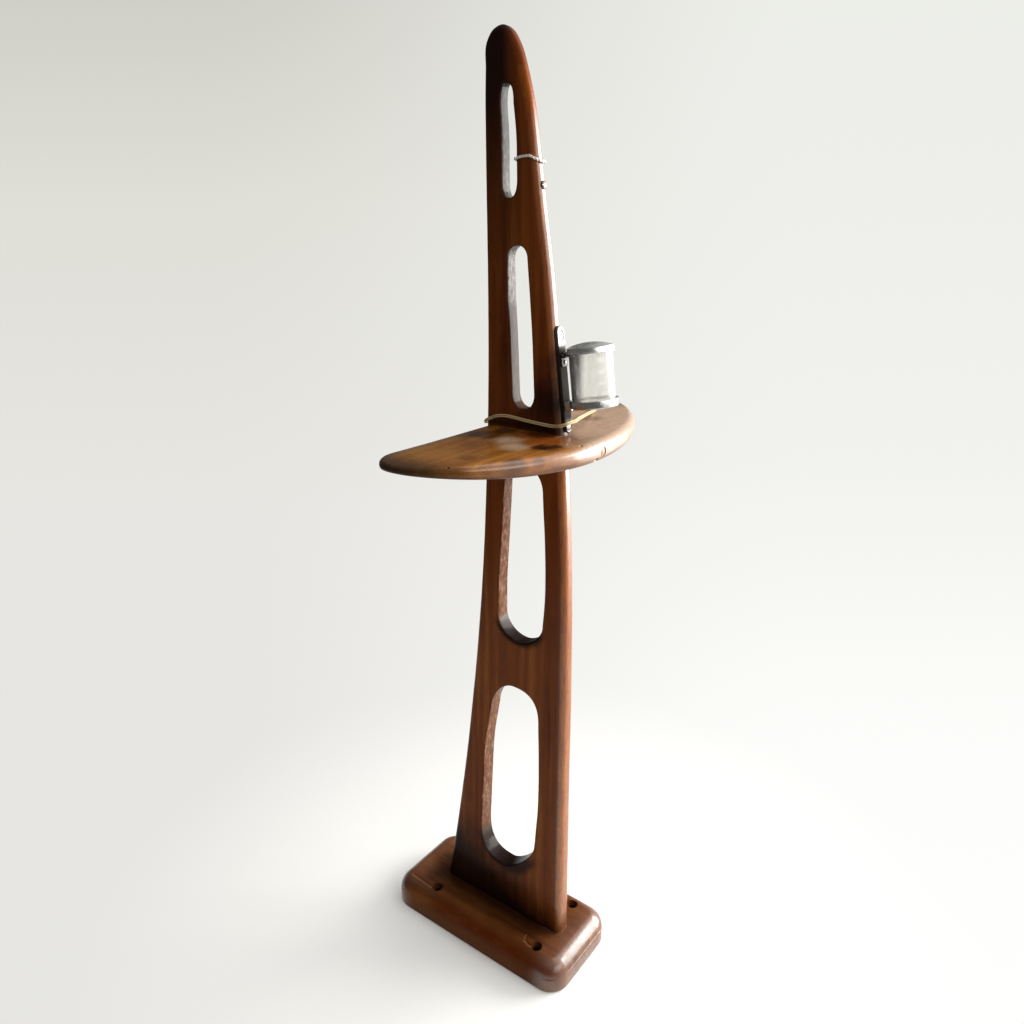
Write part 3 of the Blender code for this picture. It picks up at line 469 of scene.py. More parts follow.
def wood(name, grain, dark, mid, light, seed=0.0, extra=None, rough=(0.24, 0.38), spec=0.08,
         figure=1.0, bump=0.14, polish=0.22, edge_polish=0.8, edge_dull=0.0):
    """Old oiled wood whose grain runs along one axis. extra(shade, fields, colour) returns
    the changed colour."""
    s = Shade(name)
    p = s.coords()
    x, y, z = s.xyz(p)
    g = {'Z': s.vec(x, y, z), 'Y': s.vec(x, z, y), 'X': s.vec(y, z, x)}[grain]
    g = s.vmath('ADD', g, (seed, seed * 0.7, seed * 1.3))
    warp = s.noise(s.vmath('MULTIPLY', g, (12, 12, 2.0)), 1.0, 3, 0.5, color=True)
    warp = s.vmath('MULTIPLY', s.vmath('SUBTRACT', warp, (0.5, 0.5, 0.5)), (0.034, 0.034, 0.05))
    g2 = s.vmath('ADD', g, warp)
    rings = s.wave(s.vmath('MULTIPLY', g2, (1.0, 0.6, 0.05)), 24.0 * figure, 9.0, 4.0, 1.3)
    streak = s.noise(s.vmath('MULTIPLY', g2, (130, 130, 3.4)), 1.0, 5, 0.62)
    broad = s.noise(s.vmath('MULTIPLY', g2, (30, 30, 3.6)), 1.0, 4, 0.55)
    fibre = s.noise(s.vmath('MULTIPLY', g2, (1300, 1300, 36)), 1.0, 4, 0.6)
    pore_n = s.noise(s.vmath('MULTIPLY', g2, (1050, 1050, 60)), 1.0, 2, 0.5)
    pore = s.span(pore_n, 0.61, 0.72)
    blot = s.noise(s.vmath('MULTIPLY', p, (19, 19, 13)), 1.0, 5, 0.6)
    tone = s.math('ADD', s.math('MULTIPLY', rings, 0.10), s.math('MULTIPLY', streak, 0.26))
    tone = s.math('ADD', tone, s.math('MULTIPLY', broad, 0.54))
    tone = s.math('ADD', tone, s.math('MULTIPLY', fibre, 0.10))
    col = s.ramp(tone, [(0.33, dark), (0.50, mid), (0.66, light)])
    col = s.mix(s.span(blot, 0.50, 0.74, 0.0, 0.6), col, s.mix(1.0, col, (0.52, 0.44, 0.42), 'MULTIPLY'))
    col = s.mix(s.math('MULTIPLY', pore, 0.32), col, tuple(c * 0.35 for c in dark))
    fields = dict(p=p, x=x, y=y, z=z, streak=streak, fibre=fibre, blot=blot, broad=broad, pore=pore)
    if extra:
        col = extra(s, fields, col)
    s.put(s.b.inputs["Base Color"], col)
    grime = s.noise(s.vmath('MULTIPLY', p, (55, 55, 40)), 1.0, 5, 0.6)
    r = s.span(s.math('ADD', s.math('MULTIPLY', grime, 0.7), s.math('MULTIPLY', fibre, 0.3)), 0.34, 0.66, rough[0], rough[1])
    r = s.math('ADD', r, s.math('MULTIPLY', pore, 0.10))
    s.put(s.b.inputs["Roughness"], r)
    s.b.inputs["IOR"].default_value = 1.5
    edge = s.attribute("polish")
    s.put(s.b.inputs["Specular IOR Level"], s.span(edge, 0.0, 1.0, spec, 0.5))
    s.put(s.b.inputs["Coat Weight"], s.span(s.math('SUBTRACT', edge, s.math('MULTIPLY', s.span(grime, 0.55, 0.7), 0.35)),
                                            0.0, 1.0, polish, edge_polish))
    s.put(s.b.inputs["Coat Roughness"], s.span(grime, 0.35, 0.7, 0.06 + edge_dull, 0.18 + edge_dull))
    s.b.inputs["Coat IOR"].default_value = 1.5
    h = s.math('ADD', s.math('MULTIPLY', fibre, 0.35), s.math('MULTIPLY', streak, 0.5))
    h = s.math('SUBTRACT', h, s.math('MULTIPLY', pore, 0.55))
    n1 = s.bump(h, bump, 0.00035)
    hand = s.noise(p, 95.0, 3, 0.5)
    s.put(s.b.inputs["Normal"], s.bump(hand, bump, 0.0011, n1))
    s.put(s.b.inputs["Coat Normal"], s.bump(hand, bump * 0.7, 0.0009))
    return s.m


def metal(name, base, tarnish, rough=(0.16, 0.38), brush=None, bump=0.12, patch=0.5, scale=1.0, shade_behind_pot=False):
    """Plated or bare metal with tarnish, wipe marks and fine scratches."""
    s = Shade(name)
    p = s.coords()
    big = s.noise(p, 140 * scale, 5, 0.6)
    fine = s.noise(p, 900 * scale, 4, 0.6)
    scr = s.noise(s.vmath('MULTIPLY', p, (2400, 2400, 160) if brush is None else brush), 1.0, 3, 0.6)
    mask = s.span(s.math('ADD', s.math('MULTIPLY', big, 0.75), s.math('MULTIPLY', fine, 0.25)), 0.46, 0.68, 0.0, patch)
    col = s.mix(mask, base, tarnish)
    col = s.mix(s.span(scr, 0.58, 0.72, 0.0, 0.25), col, tuple(min(1.0, c * 1.25) for c in base))
    if shade_behind_pot:
        # painted shade and reflection: the strap is nearly black behind the pot
        z = s.xyz(p)[2]
        rag = s.noise(p, 320, 5, 0.65)
        zz = s.math('ADD', z, s.math('MULTIPLY', s.math('SUBTRACT', rag, 0.5), 0.006))
        dark = s.math('MULTIPLY', s.span(zz, 0.600, 0.605), s.span(zz, 0.662, 0.669, 1.0, 0.0))
        col = s.mix(s.math('MULTIPLY', dark, 0.95), col, (0.022, 0.019, 0.016))
        mask = s.math('ADD', mask, s.math('MULTIPLY', dark, 1.6))
    s.put(s.b.inputs["Base Color"], col)
    if shade_behind_pot:
        s.put(s.b.inputs["Metallic"], s.span(dark, 0.0, 1.0, 1.0, 0.0))
    else:
        s.b.inputs["Metallic"].default_value = 1.0
    r = s.math('ADD', s.span(big, 0.3, 0.7, rough[0], rough[1]), s.math('MULTIPLY', mask, 0.18))
    r = s.math('ADD', r, s.math('MULTIPLY', s.math('SUBTRACT', scr, 0.5), 0.10))
    if shade_behind_pot:
        s.put(s.b.inputs["Specular IOR Level"], s.span(dark, 0.0, 1.0, 0.5, 0.05))
        r = s.math('ADD', r, s.math('MULTIPLY', dark, 0.3))
    s.put(s.b.inputs["Roughness"], r)
    n1 = s.bump(scr, bump, 0.00005)
    s.put(s.b.inputs["Normal"], s.bump(big, bump * 1.2, 0.0003, n1))
    return s.m


# ------------------------------------------------------------ materials
FOOT_WAX = PLINTH_Z * MM


def blade_extra(s, f, col):
    z, p = f["z"], f["p"]
    across = s.attribute("across")
    # darker towards the top, nearly black on the back half; less so towards the front edge, painted light where the
    # face catches light from the right
    high = s.math('MULTIPLY', s.span(z, 0.70, 0.870), s.span(across, 0.50, 1.0, 1.0, 0.35))
    col = s.mix(high, col, s.mix(1.0, col, (0.16, 0.18, 0.26), 'MULTIPLY'))
    crown = s.math('ADD', z, s.math('MULTIPLY', s.math('SUBTRACT', across, 0.5), -0.022))
    col = s.mix(s.span(crown, 0.845, 0.890, 0.0, 0.88), col, srgb(34, 17, 14))
    # painted light: a warmer, lighter brown on the front part of the face, where it catches light from the right
    lit_front_face = s.math('MULTIPLY', s.span(across, 0.45, 0.85), s.span(z, 0.30, 0.55))
    col = s.mix(s.math('MULTIPLY', lit_front_face, 0.55), col, s.mix(f["streak"], srgb(104, 46, 14), srgb(140, 70, 24)))
    # painted shade: a dark reddish line at the terminator where the face rolls into the front edge; then painted light:
    # the lit front edge is coloured golden
    terminator_shade = s.attribute("terminator_shade")
    col = s.mix(s.math('MULTIPLY', terminator_shade, s.span(z, 0.60, 0.80, 0.62, 0.15)), col, srgb(84, 34, 14))
    fe = s.attribute("front")
    rag = s.noise(s.vmath('MULTIPLY', p, (420, 420, 30)), 1.0, 5, 0.62)
    lit_edge = s.math('MULTIPLY', fe, s.span(rag, 0.34, 0.62, 0.25, 0.85))
    lit_edge_colour = s.mix(f["streak"], srgb(118, 62, 18), srgb(170, 102, 38))
    col = s.mix(s.math('MULTIPLY', lit_edge, s.span(z, 0.52, 0.92, 1.0, 0.4)), col, lit_edge_colour)
    fleck = s.noise(s.vmath('MULTIPLY', p, (700, 700, 110)), 1.0, 4, 0.6)
    col = s.mix(s.math('MULTIPLY', s.span(fleck, 0.56, 0.66, 0.0, 0.8), fe), col, srgb(88, 40, 28))
    # slot walls: in the upper slots a mottled grey painted reflection, darker towards the top, with painted shade near
    # black down the second slot's lower part; bare tan wood in the lower ones
    sl = s.attribute("slot")
    mott = s.noise(s.vmath('MULTIPLY', p, (260, 260, 150)), 1.0, 5, 0.7)
    streaky = s.noise(s.vmath('MULTIPLY', p, (900, 900, 34)), 1.0, 4, 0.6)
    mott = s.math('ADD', s.math('MULTIPLY', mott, 0.6), s.math('MULTIPLY', streaky, 0.4))
    wall_reflection_and_shade = s.ramp(mott, [(0.38, srgb(52, 50, 49)), (0.50, srgb(104, 104, 103)), (0.62, srgb(150, 150, 147))])
    wall_reflection_and_shade = s.mix(s.span(z, 0.735, 0.86, 0.0, 1.0), wall_reflection_and_shade, s.mix(1.0, wall_reflection_and_shade, (0.22, 0.21, 0.21), 'MULTIPLY'))
    wall_reflection_and_shade = s.mix(s.span(z, 0.714, 0.737, 0.9, 0.0), wall_reflection_and_shade, s.mix(s.span(z, 0.712, 0.690), wall_reflection_and_shade, srgb(28, 25, 24)))
    col = s.mix(s.math('MULTIPLY', sl, s.span(z, 0.57, 0.62, 0.0, 0.85)), col, wall_reflection_and_shade)
    tan = s.ramp(mott, [(0.38, srgb(50, 32, 24)), (0.50, srgb(88, 70, 58)), (0.62, srgb(142, 124, 108))])
    col = s.mix(s.math('MULTIPLY', sl, s.span(z, 0.57, 0.62, 0.62, 0.0)), col, tan)
    # painted reflection and shade: the curved lower ends of the two lower slots are grey, near black at the very bottom
    for lo, hi in ((0.084, 0.126), (0.366, 0.400)):
        w = s.math('MULTIPLY', s.span(z, hi - 0.016, hi, 1.0, 0.0), s.span(z, lo - 0.004, lo + 0.002))
        end_gloss_and_shade = s.mix(s.span(z, lo + 0.006, hi - 0.006), srgb(34, 30, 29), srgb(112, 106, 100))
        col = s.mix(s.math('MULTIPLY', s.math('MULTIPLY', w, sl), 0.85), col, end_gloss_and_shade)
    # painted shade on the rounded lips of the slots, wider round the lower ends of the two lower slots, and a
    # near-black foot
    warp = s.noise(p, 42, 5, 0.62)
    lip_shade = s.math('MULTIPLY', s.attribute("lip_shade"), s.span(warp, 0.30, 0.62, 0.45, 1.0))
    col = s.mix(s.math('MULTIPLY', lip_shade, 0.82), col, srgb(26, 14, 12))
    for cx, cz, rx, rz in ((17.3, 133.0, 37.5, 43.0), (33.2, 400.0, 28.0, 27.0)):
        ex = s.math('DIVIDE', s.math('SUBTRACT', f["x"], cx * MM), rx * MM)
        ez = s.math('DIVIDE', s.math('SUBTRACT', z, cz * MM), rz * MM)
        e = s.math('SQRT', s.math('ADD', s.math('MULTIPLY', ex, ex), s.math('MULTIPLY', ez, ez)))
        e = s.math('ADD', e, s.math('MULTIPLY', s.math('SUBTRACT', warp, 0.5), 0.20))
        below = s.math('MULTIPLY', s.span(e, 1.0, 1.26, 1.0, 0.0), s.span(ez, -0.60, -0.15, 1.0, 0.0))
        col = s.mix(s.math('MULTIPLY', below, 0.88), col, srgb(24, 13, 9))
    # painted shadow of the pot and strap on the face just behind the strap
    for c, r, k in (((68, -9, 628), 34, 0.60), ((60, -9, 604), 34, 0.60)):
        col = s.mix(s.math('MULTIPLY', s.near(p, c, r, warp, 0.35), k), col, srgb(24, 12, 8))
    # painted shade: near black where the blade meets the plinth, reaching higher towards the back end
    foot = s.math('ADD', z, s.math('MULTIPLY', s.math('ADD', f["x"], 0.060), 0.55))
    foot = s.math('ADD', foot, s.math('MULTIPLY', s.math('SUBTRACT', warp, 0.5), 0.035))
    col = s.mix(s.math('MULTIPLY', s.span(foot, 0.085, 0.172, 1.0, 0.0), 0.96), col, srgb(18, 8, 5))
    wax = s.math('MULTIPLY', s.span(z, FOOT_WAX - 0.0004, FOOT_WAX + 0.0012, 1.0, 0.0), s.span(f["x"], 0.066, 0.070))
    col = s.mix(s.math('MULTIPLY', wax, s.span(mott, 0.42, 0.52, 0.3, 0.9)), col, srgb(214, 200, 178))
    # painted shadow under the cord together with a dark stain, in the band just above the shelf
    cord_shadow_and_stain = s.math('MULTIPLY', s.span(z, 0.5885, 0.5925), s.span(z, 0.5935, 0.600, 1.0, 0.0))
    return s.mix(s.math('MULTIPLY', cord_shadow_and_stain, 0.75), col, srgb(22, 12, 8))


def shelf_extra(s, f, col):
    p, x, y = f["p"], f["x"], f["y"]
    warp = s.noise(s.vmath('MULTIPLY', p, (70, 34, 70)), 1.0, 5, 0.62)
    fine = s.noise(s.vmath('MULTIPLY', p, (230, 90, 230)), 1.0, 5, 0.62)
    # painted sheen: the far side and nose take a pale grey-pink reflection of the bright backdrop
    u = s.math('ADD', s.math('MULTIPLY', x, 0.62), s.math('MULTIPLY', y, 0.78))
    u = s.math('ADD', u, s.math('MULTIPLY', s.math('SUBTRACT', warp, 0.5), 0.05))
    pale = s.span(u, 0.030, 0.062)
    col = s.mix(s.math('MULTIPLY', pale, 0.72), col, s.mix(fine, srgb(150, 122, 100), srgb(188, 164, 144)))
    # orange wood beside the blade, ochre further out; the two grey-pink patches before the blade are painted reflection
    # of the backdrop, the grey spot at the nose a painted highlight
    for c, r, k, rgb in (((76, -30, 590), 34, 0.75, (122, 54, 10)), ((60, -12, 590), 22, 0.6, (122, 52, 10)),
                         ((98, -84, 590), 32, 0.5, (142, 84, 28)), ((30, -118, 590), 38, 0.5, (132, 92, 46)),
                         ((48, -46, 590), 19, 0.80, (170, 146, 126)), ((66, -62, 590), 18, 0.70, (168, 146, 122)),
                         ((110, 2, 584), 8, 0.6, (146, 142, 120))):
        col = s.mix(s.math('MULTIPLY', s.near(p, c, r, warp, 0.2), k), col, srgb(*rgb))
    for c, r, k in (((88, -50, 590), 12, 0.95), ((94, -41, 590), 8, 0.9), ((22, -42, 590), 19, 0.72), ((6, -50, 590), 14, 0.6),
                    ((27, -20, 590), 14, 0.8), ((60, -12, 590), 17, 0.75), ((97, -98, 588), 14, 0.6), ((104, -78, 587), 8, 0.6),
                    ((58, -112, 590), 9, 0.35), ((60, 70, 590), 13, 0.4), ((20, 110, 590), 17, 0.45), ((84, -8, 590), 9, 0.5)):
        col = s.mix(s.math('MULTIPLY', s.near(p, c, r * 1.15, warp, 0.42), k), col, srgb(34, 17, 9))
    # painted shade on the downward-facing underside of the rim
    underside_shade = s.span(s.attribute("underside_shade"), 0.2, 0.9)
    col = s.mix(s.math('MULTIPLY', underside_shade, 0.45), col, srgb(70, 36, 18))
    back = s.math('MULTIPLY', s.span(x, -0.006, 0.016, 1.0, 0.0), s.span(y, -0.03, -0.06))
    col = s.mix(s.math('MULTIPLY', back, 0.6), col, srgb(120, 104, 84))
    tip = s.span(s.math('ADD', s.math('ABSOLUTE', y), s.math('MULTIPLY', fine, 0.01)), 0.128, 0.166)
    return s.mix(s.math('MULTIPLY', tip, 0.85), col, srgb(34, 26, 20))


def plinth_extra(s, f, col):
    p, x, y, z = f["p"], f["x"], f["y"], f["z"]
    rag = s.noise(s.vmath('MULTIPLY', p, (40, 150, 150)), 1.0, 5, 0.62)
    up = s.span(z, 0.026, 0.033)
    # a deep red-brown band along the near top edge
    band = s.math('MULTIPLY', s.math('MULTIPLY', s.span(y, -0.050, -0.040, 1.0, 0.0), s.span(z, 0.012, 0.026)),
                  s.span(x, -0.075, -0.045))
    col = s.mix(s.math('MULTIPLY', band, s.span(rag, 0.30, 0.60, 0.65, 1.0)), col, srgb(80, 32, 9))
    # grey-brown tops at both ends: partly dull, worn wood, partly painted reflection of the pale backdrop
    ends = s.math('MULTIPLY', s.span(s.math('ABSOLUTE', s.math('SUBTRACT', x, 0.005)), 0.055, 0.095), up)
    col = s.mix(s.math('MULTIPLY', ends, s.span(rag, 0.3, 0.6, 0.30, 0.65)), col, srgb(98, 64, 48))
    # painted shade round the blade's foot
    dx = s.math('MAXIMUM', s.math('SUBTRACT', s.math('ABSOLUTE', s.math('ADD', x, 0.004)), 0.070), 0.0)
    dy = s.math('MAXIMUM', s.math('SUBTRACT', s.math('ABSOLUTE', y), 0.006), 0.0)
    d = s.math('ADD', s.math('SQRT', s.math('ADD', s.math('MULTIPLY', dx, dx), s.math('MULTIPLY', dy, dy))),
               s.math('MULTIPLY', s.math('SUBTRACT', rag, 0.5), 0.022))
    foot = s.math('MULTIPLY', s.span(d, 0.004, 0.036, 1.0, 0.0), s.span(x, 0.05, 0.085, 1.0, 0.15))
    col = s.mix(s.math('MULTIPLY', foot, 0.88), col, srgb(30, 13, 8))
    # painted shade in and round the holes' mouths, near black down the bores
    for hx in HOLE_X:
        for hy in (-HOLE_Y, HOLE_Y):
            q = s.vec(s.math('SUBTRACT', x, hx * MM), s.math('SUBTRACT', y, hy * MM), 0.0)
            e = s.math('ADD', s.vmath('LENGTH', q, out=1), s.math('MULTIPLY', s.math('SUBTRACT', rag, 0.5), 0.0012))
            col = s.mix(s.math('MULTIPLY', s.span(e, 0.0050, 0.0078, 0.6, 0.0), up), col, srgb(48, 24, 12))
            col = s.mix(s.math('MULTIPLY', s.span(e, 0.0042, 0.0052, 0.97, 0.0), s.span(z, (PLINTH_Z - 0.3) * MM, (PLINTH_Z - 1.2) * MM)), col, srgb(9, 6, 4))
    # pale broken edges of the chips by the near holes
    for a, b, w in (((-103, -39.2), (-70, -41.2), 1.5), ((58.6, -30), (60.4, -36.5), 1.1), ((61, -38.5), (72, -41.0), 1.2)):
        ax, ay, bx, by = (c * MM for c in (*a, *b))
        L2 = (bx - ax) ** 2 + (by - ay) ** 2
        t = s.math('ADD', s.math('MULTIPLY', s.math('SUBTRACT', x, ax), (bx - ax) / L2),
                   s.math('MULTIPLY', s.math('SUBTRACT', y, ay), (by - ay) / L2), clamp=True)
        ex = s.math('SUBTRACT', x, s.math('ADD', s.math('MULTIPLY', t, bx - ax), ax))
        ey = s.math('SUBTRACT', y, s.math('ADD', s.math('MULTIPLY', t, by - ay), ay))
        e = s.math('SQRT', s.math('ADD', s.math('MULTIPLY', ex, ex), s.math('MULTIPLY', ey, ey)))
        e = s.math('ADD', e, s.math('MULTIPLY', s.math('SUBTRACT', rag, 0.5), 0.0012))
        col = s.mix(s.math('MULTIPLY', s.math('MULTIPLY', s.span(e, 0.0, w * MM, 0.7, 0.0), up), 0.42), col, srgb(160, 126, 92))
    return col


BLADE_WOOD = wood("blade_wood_looks", 'Z', srgb(80, 37, 14), srgb(110, 55, 20), srgb(134, 76, 30), 0.31,
                  extra=blade_extra, spec=0.03, polish=0.10, edge_polish=0.50, edge_dull=0.05)
SHELF_WOOD = wood("shelf_wood_looks", 'Y', srgb(88, 48, 14), srgb(120, 74, 26), srgb(148, 100, 44), 2.17,
                  extra=shelf_extra, spec=0.05, polish=0.16, edge_polish=0.42, edge_dull=0.02)
PLINTH_WOOD = wood("plinth_wood_looks", 'X', srgb(66, 34, 14), srgb(92, 52, 22), srgb(114, 70, 34), 5.41,
                   extra=plinth_extra, spec=0.03, polish=0.03, edge_polish=0.60, edge_dull=0.12)
STRAP_METAL = metal("strap_nickel_looks", (0.17, 0.165, 0.16), (0.09, 0.08, 0.07), (0.30, 0.46), shade_behind_pot=True)
CUP_NICKEL = metal("cup_nickel_looks", (0.60, 0.60, 0.58), (0.26, 0.26, 0.24), (0.16, 0.30), (240, 240, 3200), bump=0.2)
LID_NICKEL = metal("lid_nickel_looks", (0.66, 0.67, 0.65), (0.28, 0.28, 0.26), (0.24, 0.40), (1800, 300, 1800), bump=0.2)
HINGE_METAL = metal("hinge_metal_looks", (0.055, 0.052, 0.05), (0.03, 0.028, 0.025), (0.42, 0.58), patch=0.8)
STEEL = metal("screw_steel_looks", (0.22, 0.21, 0.20), (0.10, 0.09, 0.08), (0.30, 0.46), (1500, 1500, 1500), patch=0.8)
EDGE_STEEL = metal("edge_screw_looks", (0.20, 0.19, 0.17), (0.10, 0.09, 0.08), (0.34, 0.50), (1500, 1500, 1500), patch=0.8)
DARK_STEEL = metal("dark_steel_looks", (0.05, 0.045, 0.04), (0.03, 0.025, 0.02), (0.42, 0.58), (1500, 1500, 1500), patch=0.9)


def glass_material():
    s = Shade("pot_glass_looks")
    p = s.coords()
    film = s.noise(s.vmath('MULTIPLY', p, (90, 90, 26)), 1.0, 5, 0.6)
    drip = s.noise(s.vmath('MULTIPLY', p, (420, 420, 18)), 1.0, 3, 0.5)
    spots = s.span(s.voronoi(p, 420), 0.10, 0.18, 1.0, 0.0)
    s.put(s.b.inputs["Base Color"], s.mix(s.span(film, 0.35, 0.7), (0.90, 0.895, 0.875), (0.82, 0.81, 0.78)))
    # painted shade and reflection: the side next to the strap is darker, with the strap's own shade
    x, y, z = s.xyz(p)
    across = s.math('ADD', s.math('MULTIPLY', x, 0.79), s.math('MULTIPLY', y, 0.61))
    across = s.math('ADD', across, s.math('MULTIPLY', s.math('SUBTRACT', drip, 0.5), 0.004))
    near = s.span(across, 0.0655, 0.0745, 0.16, 1.0)
    s.put(s.b.inputs["Base Color"], s.mix(1.0, s.mix(s.span(film, 0.35, 0.7), (0.90, 0.895, 0.875), (0.82, 0.81, 0.78)), near, 'MULTIPLY'))
    s.b.inputs["IOR"].default_value = 1.46
    # salt haze inside the glass: part clear, part milky
    s.put(s.b.inputs["Transmission Weight"], s.span(s.math('ADD', s.math('MULTIPLY', film, 0.7), s.math('MULTIPLY', drip, 0.3)),
                                                    0.35, 0.68, 0.93, 0.80))
    r = s.span(film, 0.40, 0.75, 0.03, 0.22)
    r = s.math('ADD', r, s.math('MULTIPLY', spots, 0.08))
    s.put(s.b.inputs["Roughness"], r)
    s.put(s.b.inputs["Normal"], s.bump(s.math('ADD', drip, s.math('MULTIPLY', film, 0.6)), 0.10, 0.0004))
    lp = s.node("ShaderNodeLightPath")
    tr = s.node("ShaderNodeBsdfTransparent")
    tr.inputs[0].default_value = (0.95, 0.95, 0.93, 1)
    mx = s.node("ShaderNodeMixShader")
    s.put(mx.inputs[0], lp.outputs["Is Shadow Ray"])
    s.t.links.new(s.b.outputs[0], mx.inputs[1])
    s.t.links.new(tr.outputs[0], mx.inputs[2])
    s.t.links.new(mx.outputs[0], s.out.inputs[0])
    return s.m


GLASS = glass_material()


def cork_material():
    s = Shade("cork_looks")
    p = s.coords()
    cell = s.voronoi(p, 900)
    lump = s.noise(p, 380, 4, 0.6)
    col = s.ramp(lump, [(0.3, srgb(110, 72, 44)), (0.55, srgb(160, 118, 80)), (0.8, srgb(188, 148, 106))])
    col = s.mix(s.span(cell, 0.0, 0.25, 0.6, 0.0), col, srgb(80, 48, 30))
    s.put(s.b.inputs["Base Color"], col)
    s.put(s.b.inputs["Roughness"], s.span(lump, 0.3, 0.7, 0.75, 0.95))
    s.put(s.b.inputs["Normal"], s.bump(s.math('ADD', cell, lump), 0.5, 0.0004))
    return s.m


def card_material():
    s = Shade("seal_card_looks")
    p = s.coords()
    fib = s.noise(s.vmath('MULTIPLY', p, (1600, 500, 1600)), 1.0, 5, 0.65)
    stain = s.noise(p, 160, 4, 0.6)
    col = s.ramp(fib, [(0.3, srgb(146, 126, 96)), (0.7, srgb(190, 172, 138))])
    col = s.mix(s.span(stain, 0.5, 0.75, 0.0, 0.6), col, srgb(120, 92, 62))
    s.put(s.b.inputs["Base Color"], col)
    s.put(s.b.inputs["Roughness"], s.span(fib, 0.3, 0.7, 0.6, 0.85))
    s.put(s.b.inputs["Normal"], s.bump(fib, 0.4, 0.0002))
    return s.m


def yarn_material(name, dark, mid, light, fuzz=0.5):
    s = Shade(name)
    p = s.coords()
    ply_shading = s.attribute("ply_shading")                 # 0 in the groove between plies, 1 on a ply's crown: painted shade in the grooves, painted highlight on the crowns
    fib = s.noise(p, 2600, 4, 0.7)
    dirt = s.noise(p, 110, 4, 0.6)
    t = s.math('ADD', s.math('MULTIPLY', ply_shading, 0.6), s.math('MULTIPLY', fib, 0.4))
    col = s.ramp(t, [(0.20, dark), (0.50, mid), (0.85, light)])
    col = s.mix(s.span(dirt, 0.48, 0.72, 0.0, 0.5), col, tuple(c * 0.55 for c in mid))
    s.put(s.b.inputs["Base Color"], col)
    s.put(s.b.inputs["Roughness"], s.span(fib, 0.3, 0.7, 0.75, 0.95))
    s.b.inputs["Sheen Weight"].default_value = fuzz
    s.b.inputs["Sheen Roughness"].default_value = 0.5
    s.put(s.b.inputs["Normal"], s.bump(fib, 0.6, 0.00025))
    return s.m


CORK, CARD = cork_material(), card_material()
CORD_YARN = yarn_material("cord_looks", srgb(96, 66, 34), srgb(182, 150, 96), srgb(222, 200, 150), 0.3)
THREAD_YARN = yarn_material("thread_looks", srgb(150, 146, 142), srgb(214, 212, 208), srgb(240, 239, 236), 0.6)


def show(name, me, mat, body, slot, *nodes, angle=35.0):
    me.materials.clear()
    me.materials.append(mat)
    smooth(me, angle)
    me.name = name
    ob = bpy.data.objects.new(name, me)
    SHOW.objects.link(ob)
    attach(ob, body)
    if nodes:
        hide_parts(*nodes)
    return ob


def set_attribute(me, name, fn):
    """Stores fn(point in mm, normal) at each vertex."""
    att = me.attributes.new(name, 'FLOAT', 'POINT')
    me.update()
    vals = [fn(v.co / MM, v.normal) for v in me.vertices]
    att.data.foreach_set("value", vals)


def eased_step(v, a, b):
    t = max(0.0, min(1.0, (v - a) / (b - a)))
    return t * t * (3 - 2 * t)


def clamp01(x):
    return 0.0 if x < 0 else 1.0 if x > 1 else x


# ------------------------------------------------------------ the strap's frame
LEAN = Matrix.Rotation(-math.radians(STRAP_LEAN), 4, 'Y')
STRAP_M = Matrix.Translation(Vector((STRAP_FOOT[0], 0, STRAP_FOOT[1])) * MM) @ LEAN
TO_X = Matrix.Rotation(math.pi / 2, 4, 'Y')
POT_M = STRAP_M @ Matrix.Translation(Vector((POT_D, 0, 0)) * MM)
HINGE_M = STRAP_M @ Matrix.Translation(Vector((HINGE_D, 0, HINGE_S)) * MM) @ Matrix.Rotation(-math.pi / 2, 4, 'X')


def along_x(s):
    return STRAP_M @ Matrix.Translation(Vector((0, 0, s)) * MM) @ TO_X


# ------------------------------------------------------------ plinth
def slab(name, inset, z0, z1, corner, top=0.0, foot=0.0):
    bm = bmesh.new()
    bmesh.ops.create_cube(bm, size=1.0)
    for v in bm.verts:
        v.co = Vector(((PLINTH_X0 + PLINTH_X1) / 2 + v.co.x * (PLINTH_X1 - PLINTH_X0 - 2 * inset),
                       v.co.y * (PLINTH_Y - 2 * inset), z0 + (v.co.z + 0.5) * (z1 - z0))) * MM
    edges = [e for e in bm.edges if abs(e.verts[0].co.z - e.verts[1].co.z) > 1 * MM]
    bmesh.ops.bevel(bm, geom=edges, offset=corner * MM, segments=20, profile=0.5, affect='EDGES')
    if top:
        rim = [e for e in bm.edges if all(v.co.z > (z1 - 0.1) * MM for v in e.verts)]
        bmesh.ops.bevel(bm, geom=rim, offset=top * MM, segments=16, profile=0.42, affect='EDGES')
    if foot:
        rim = [e for e in bm.edges if all(v.co.z < (z0 + 0.1) * MM for v in e.verts)]
        bmesh.ops.bevel(bm, geom=rim, offset=foot * MM, segments=5, profile=0.5, affect='EDGES')
    me = bpy.data.meshes.new(name)
    bm.to_mesh(me)
    bm.free()
    return me


def gouge(a, b, width, depth, seed):
    """A long ragged blister that scoops a gouge from the plinth's top between two points."""
    bm = bmesh.new()
    bmesh.ops.create_icosphere(bm, subdivisions=4, radius=1.0)
    a, b = Vector(a), Vector(b)
    d = b - a
    L = d.length / 2
    turn = Matrix.Rotation(math.atan2(d.y, d.x), 4, 'Z')
    for v in bm.verts:
        k = 1 + 0.35 * noise.noise(v.co * 2.3 + Vector((seed, 0, 0)))
        v.co = Vector((v.co.x * L, v.co.y * width / 2 * k, v.co.z * depth * k))
    bmesh.ops.transform(bm, matrix=Matrix.Translation((a + b) / 2) @ turn, verts=bm.verts)
    for v in bm.verts:
        v.co *= MM
    me = bpy.data.meshes.new("gouge")
    bm.to_mesh(me)
    bm.free()
    return me


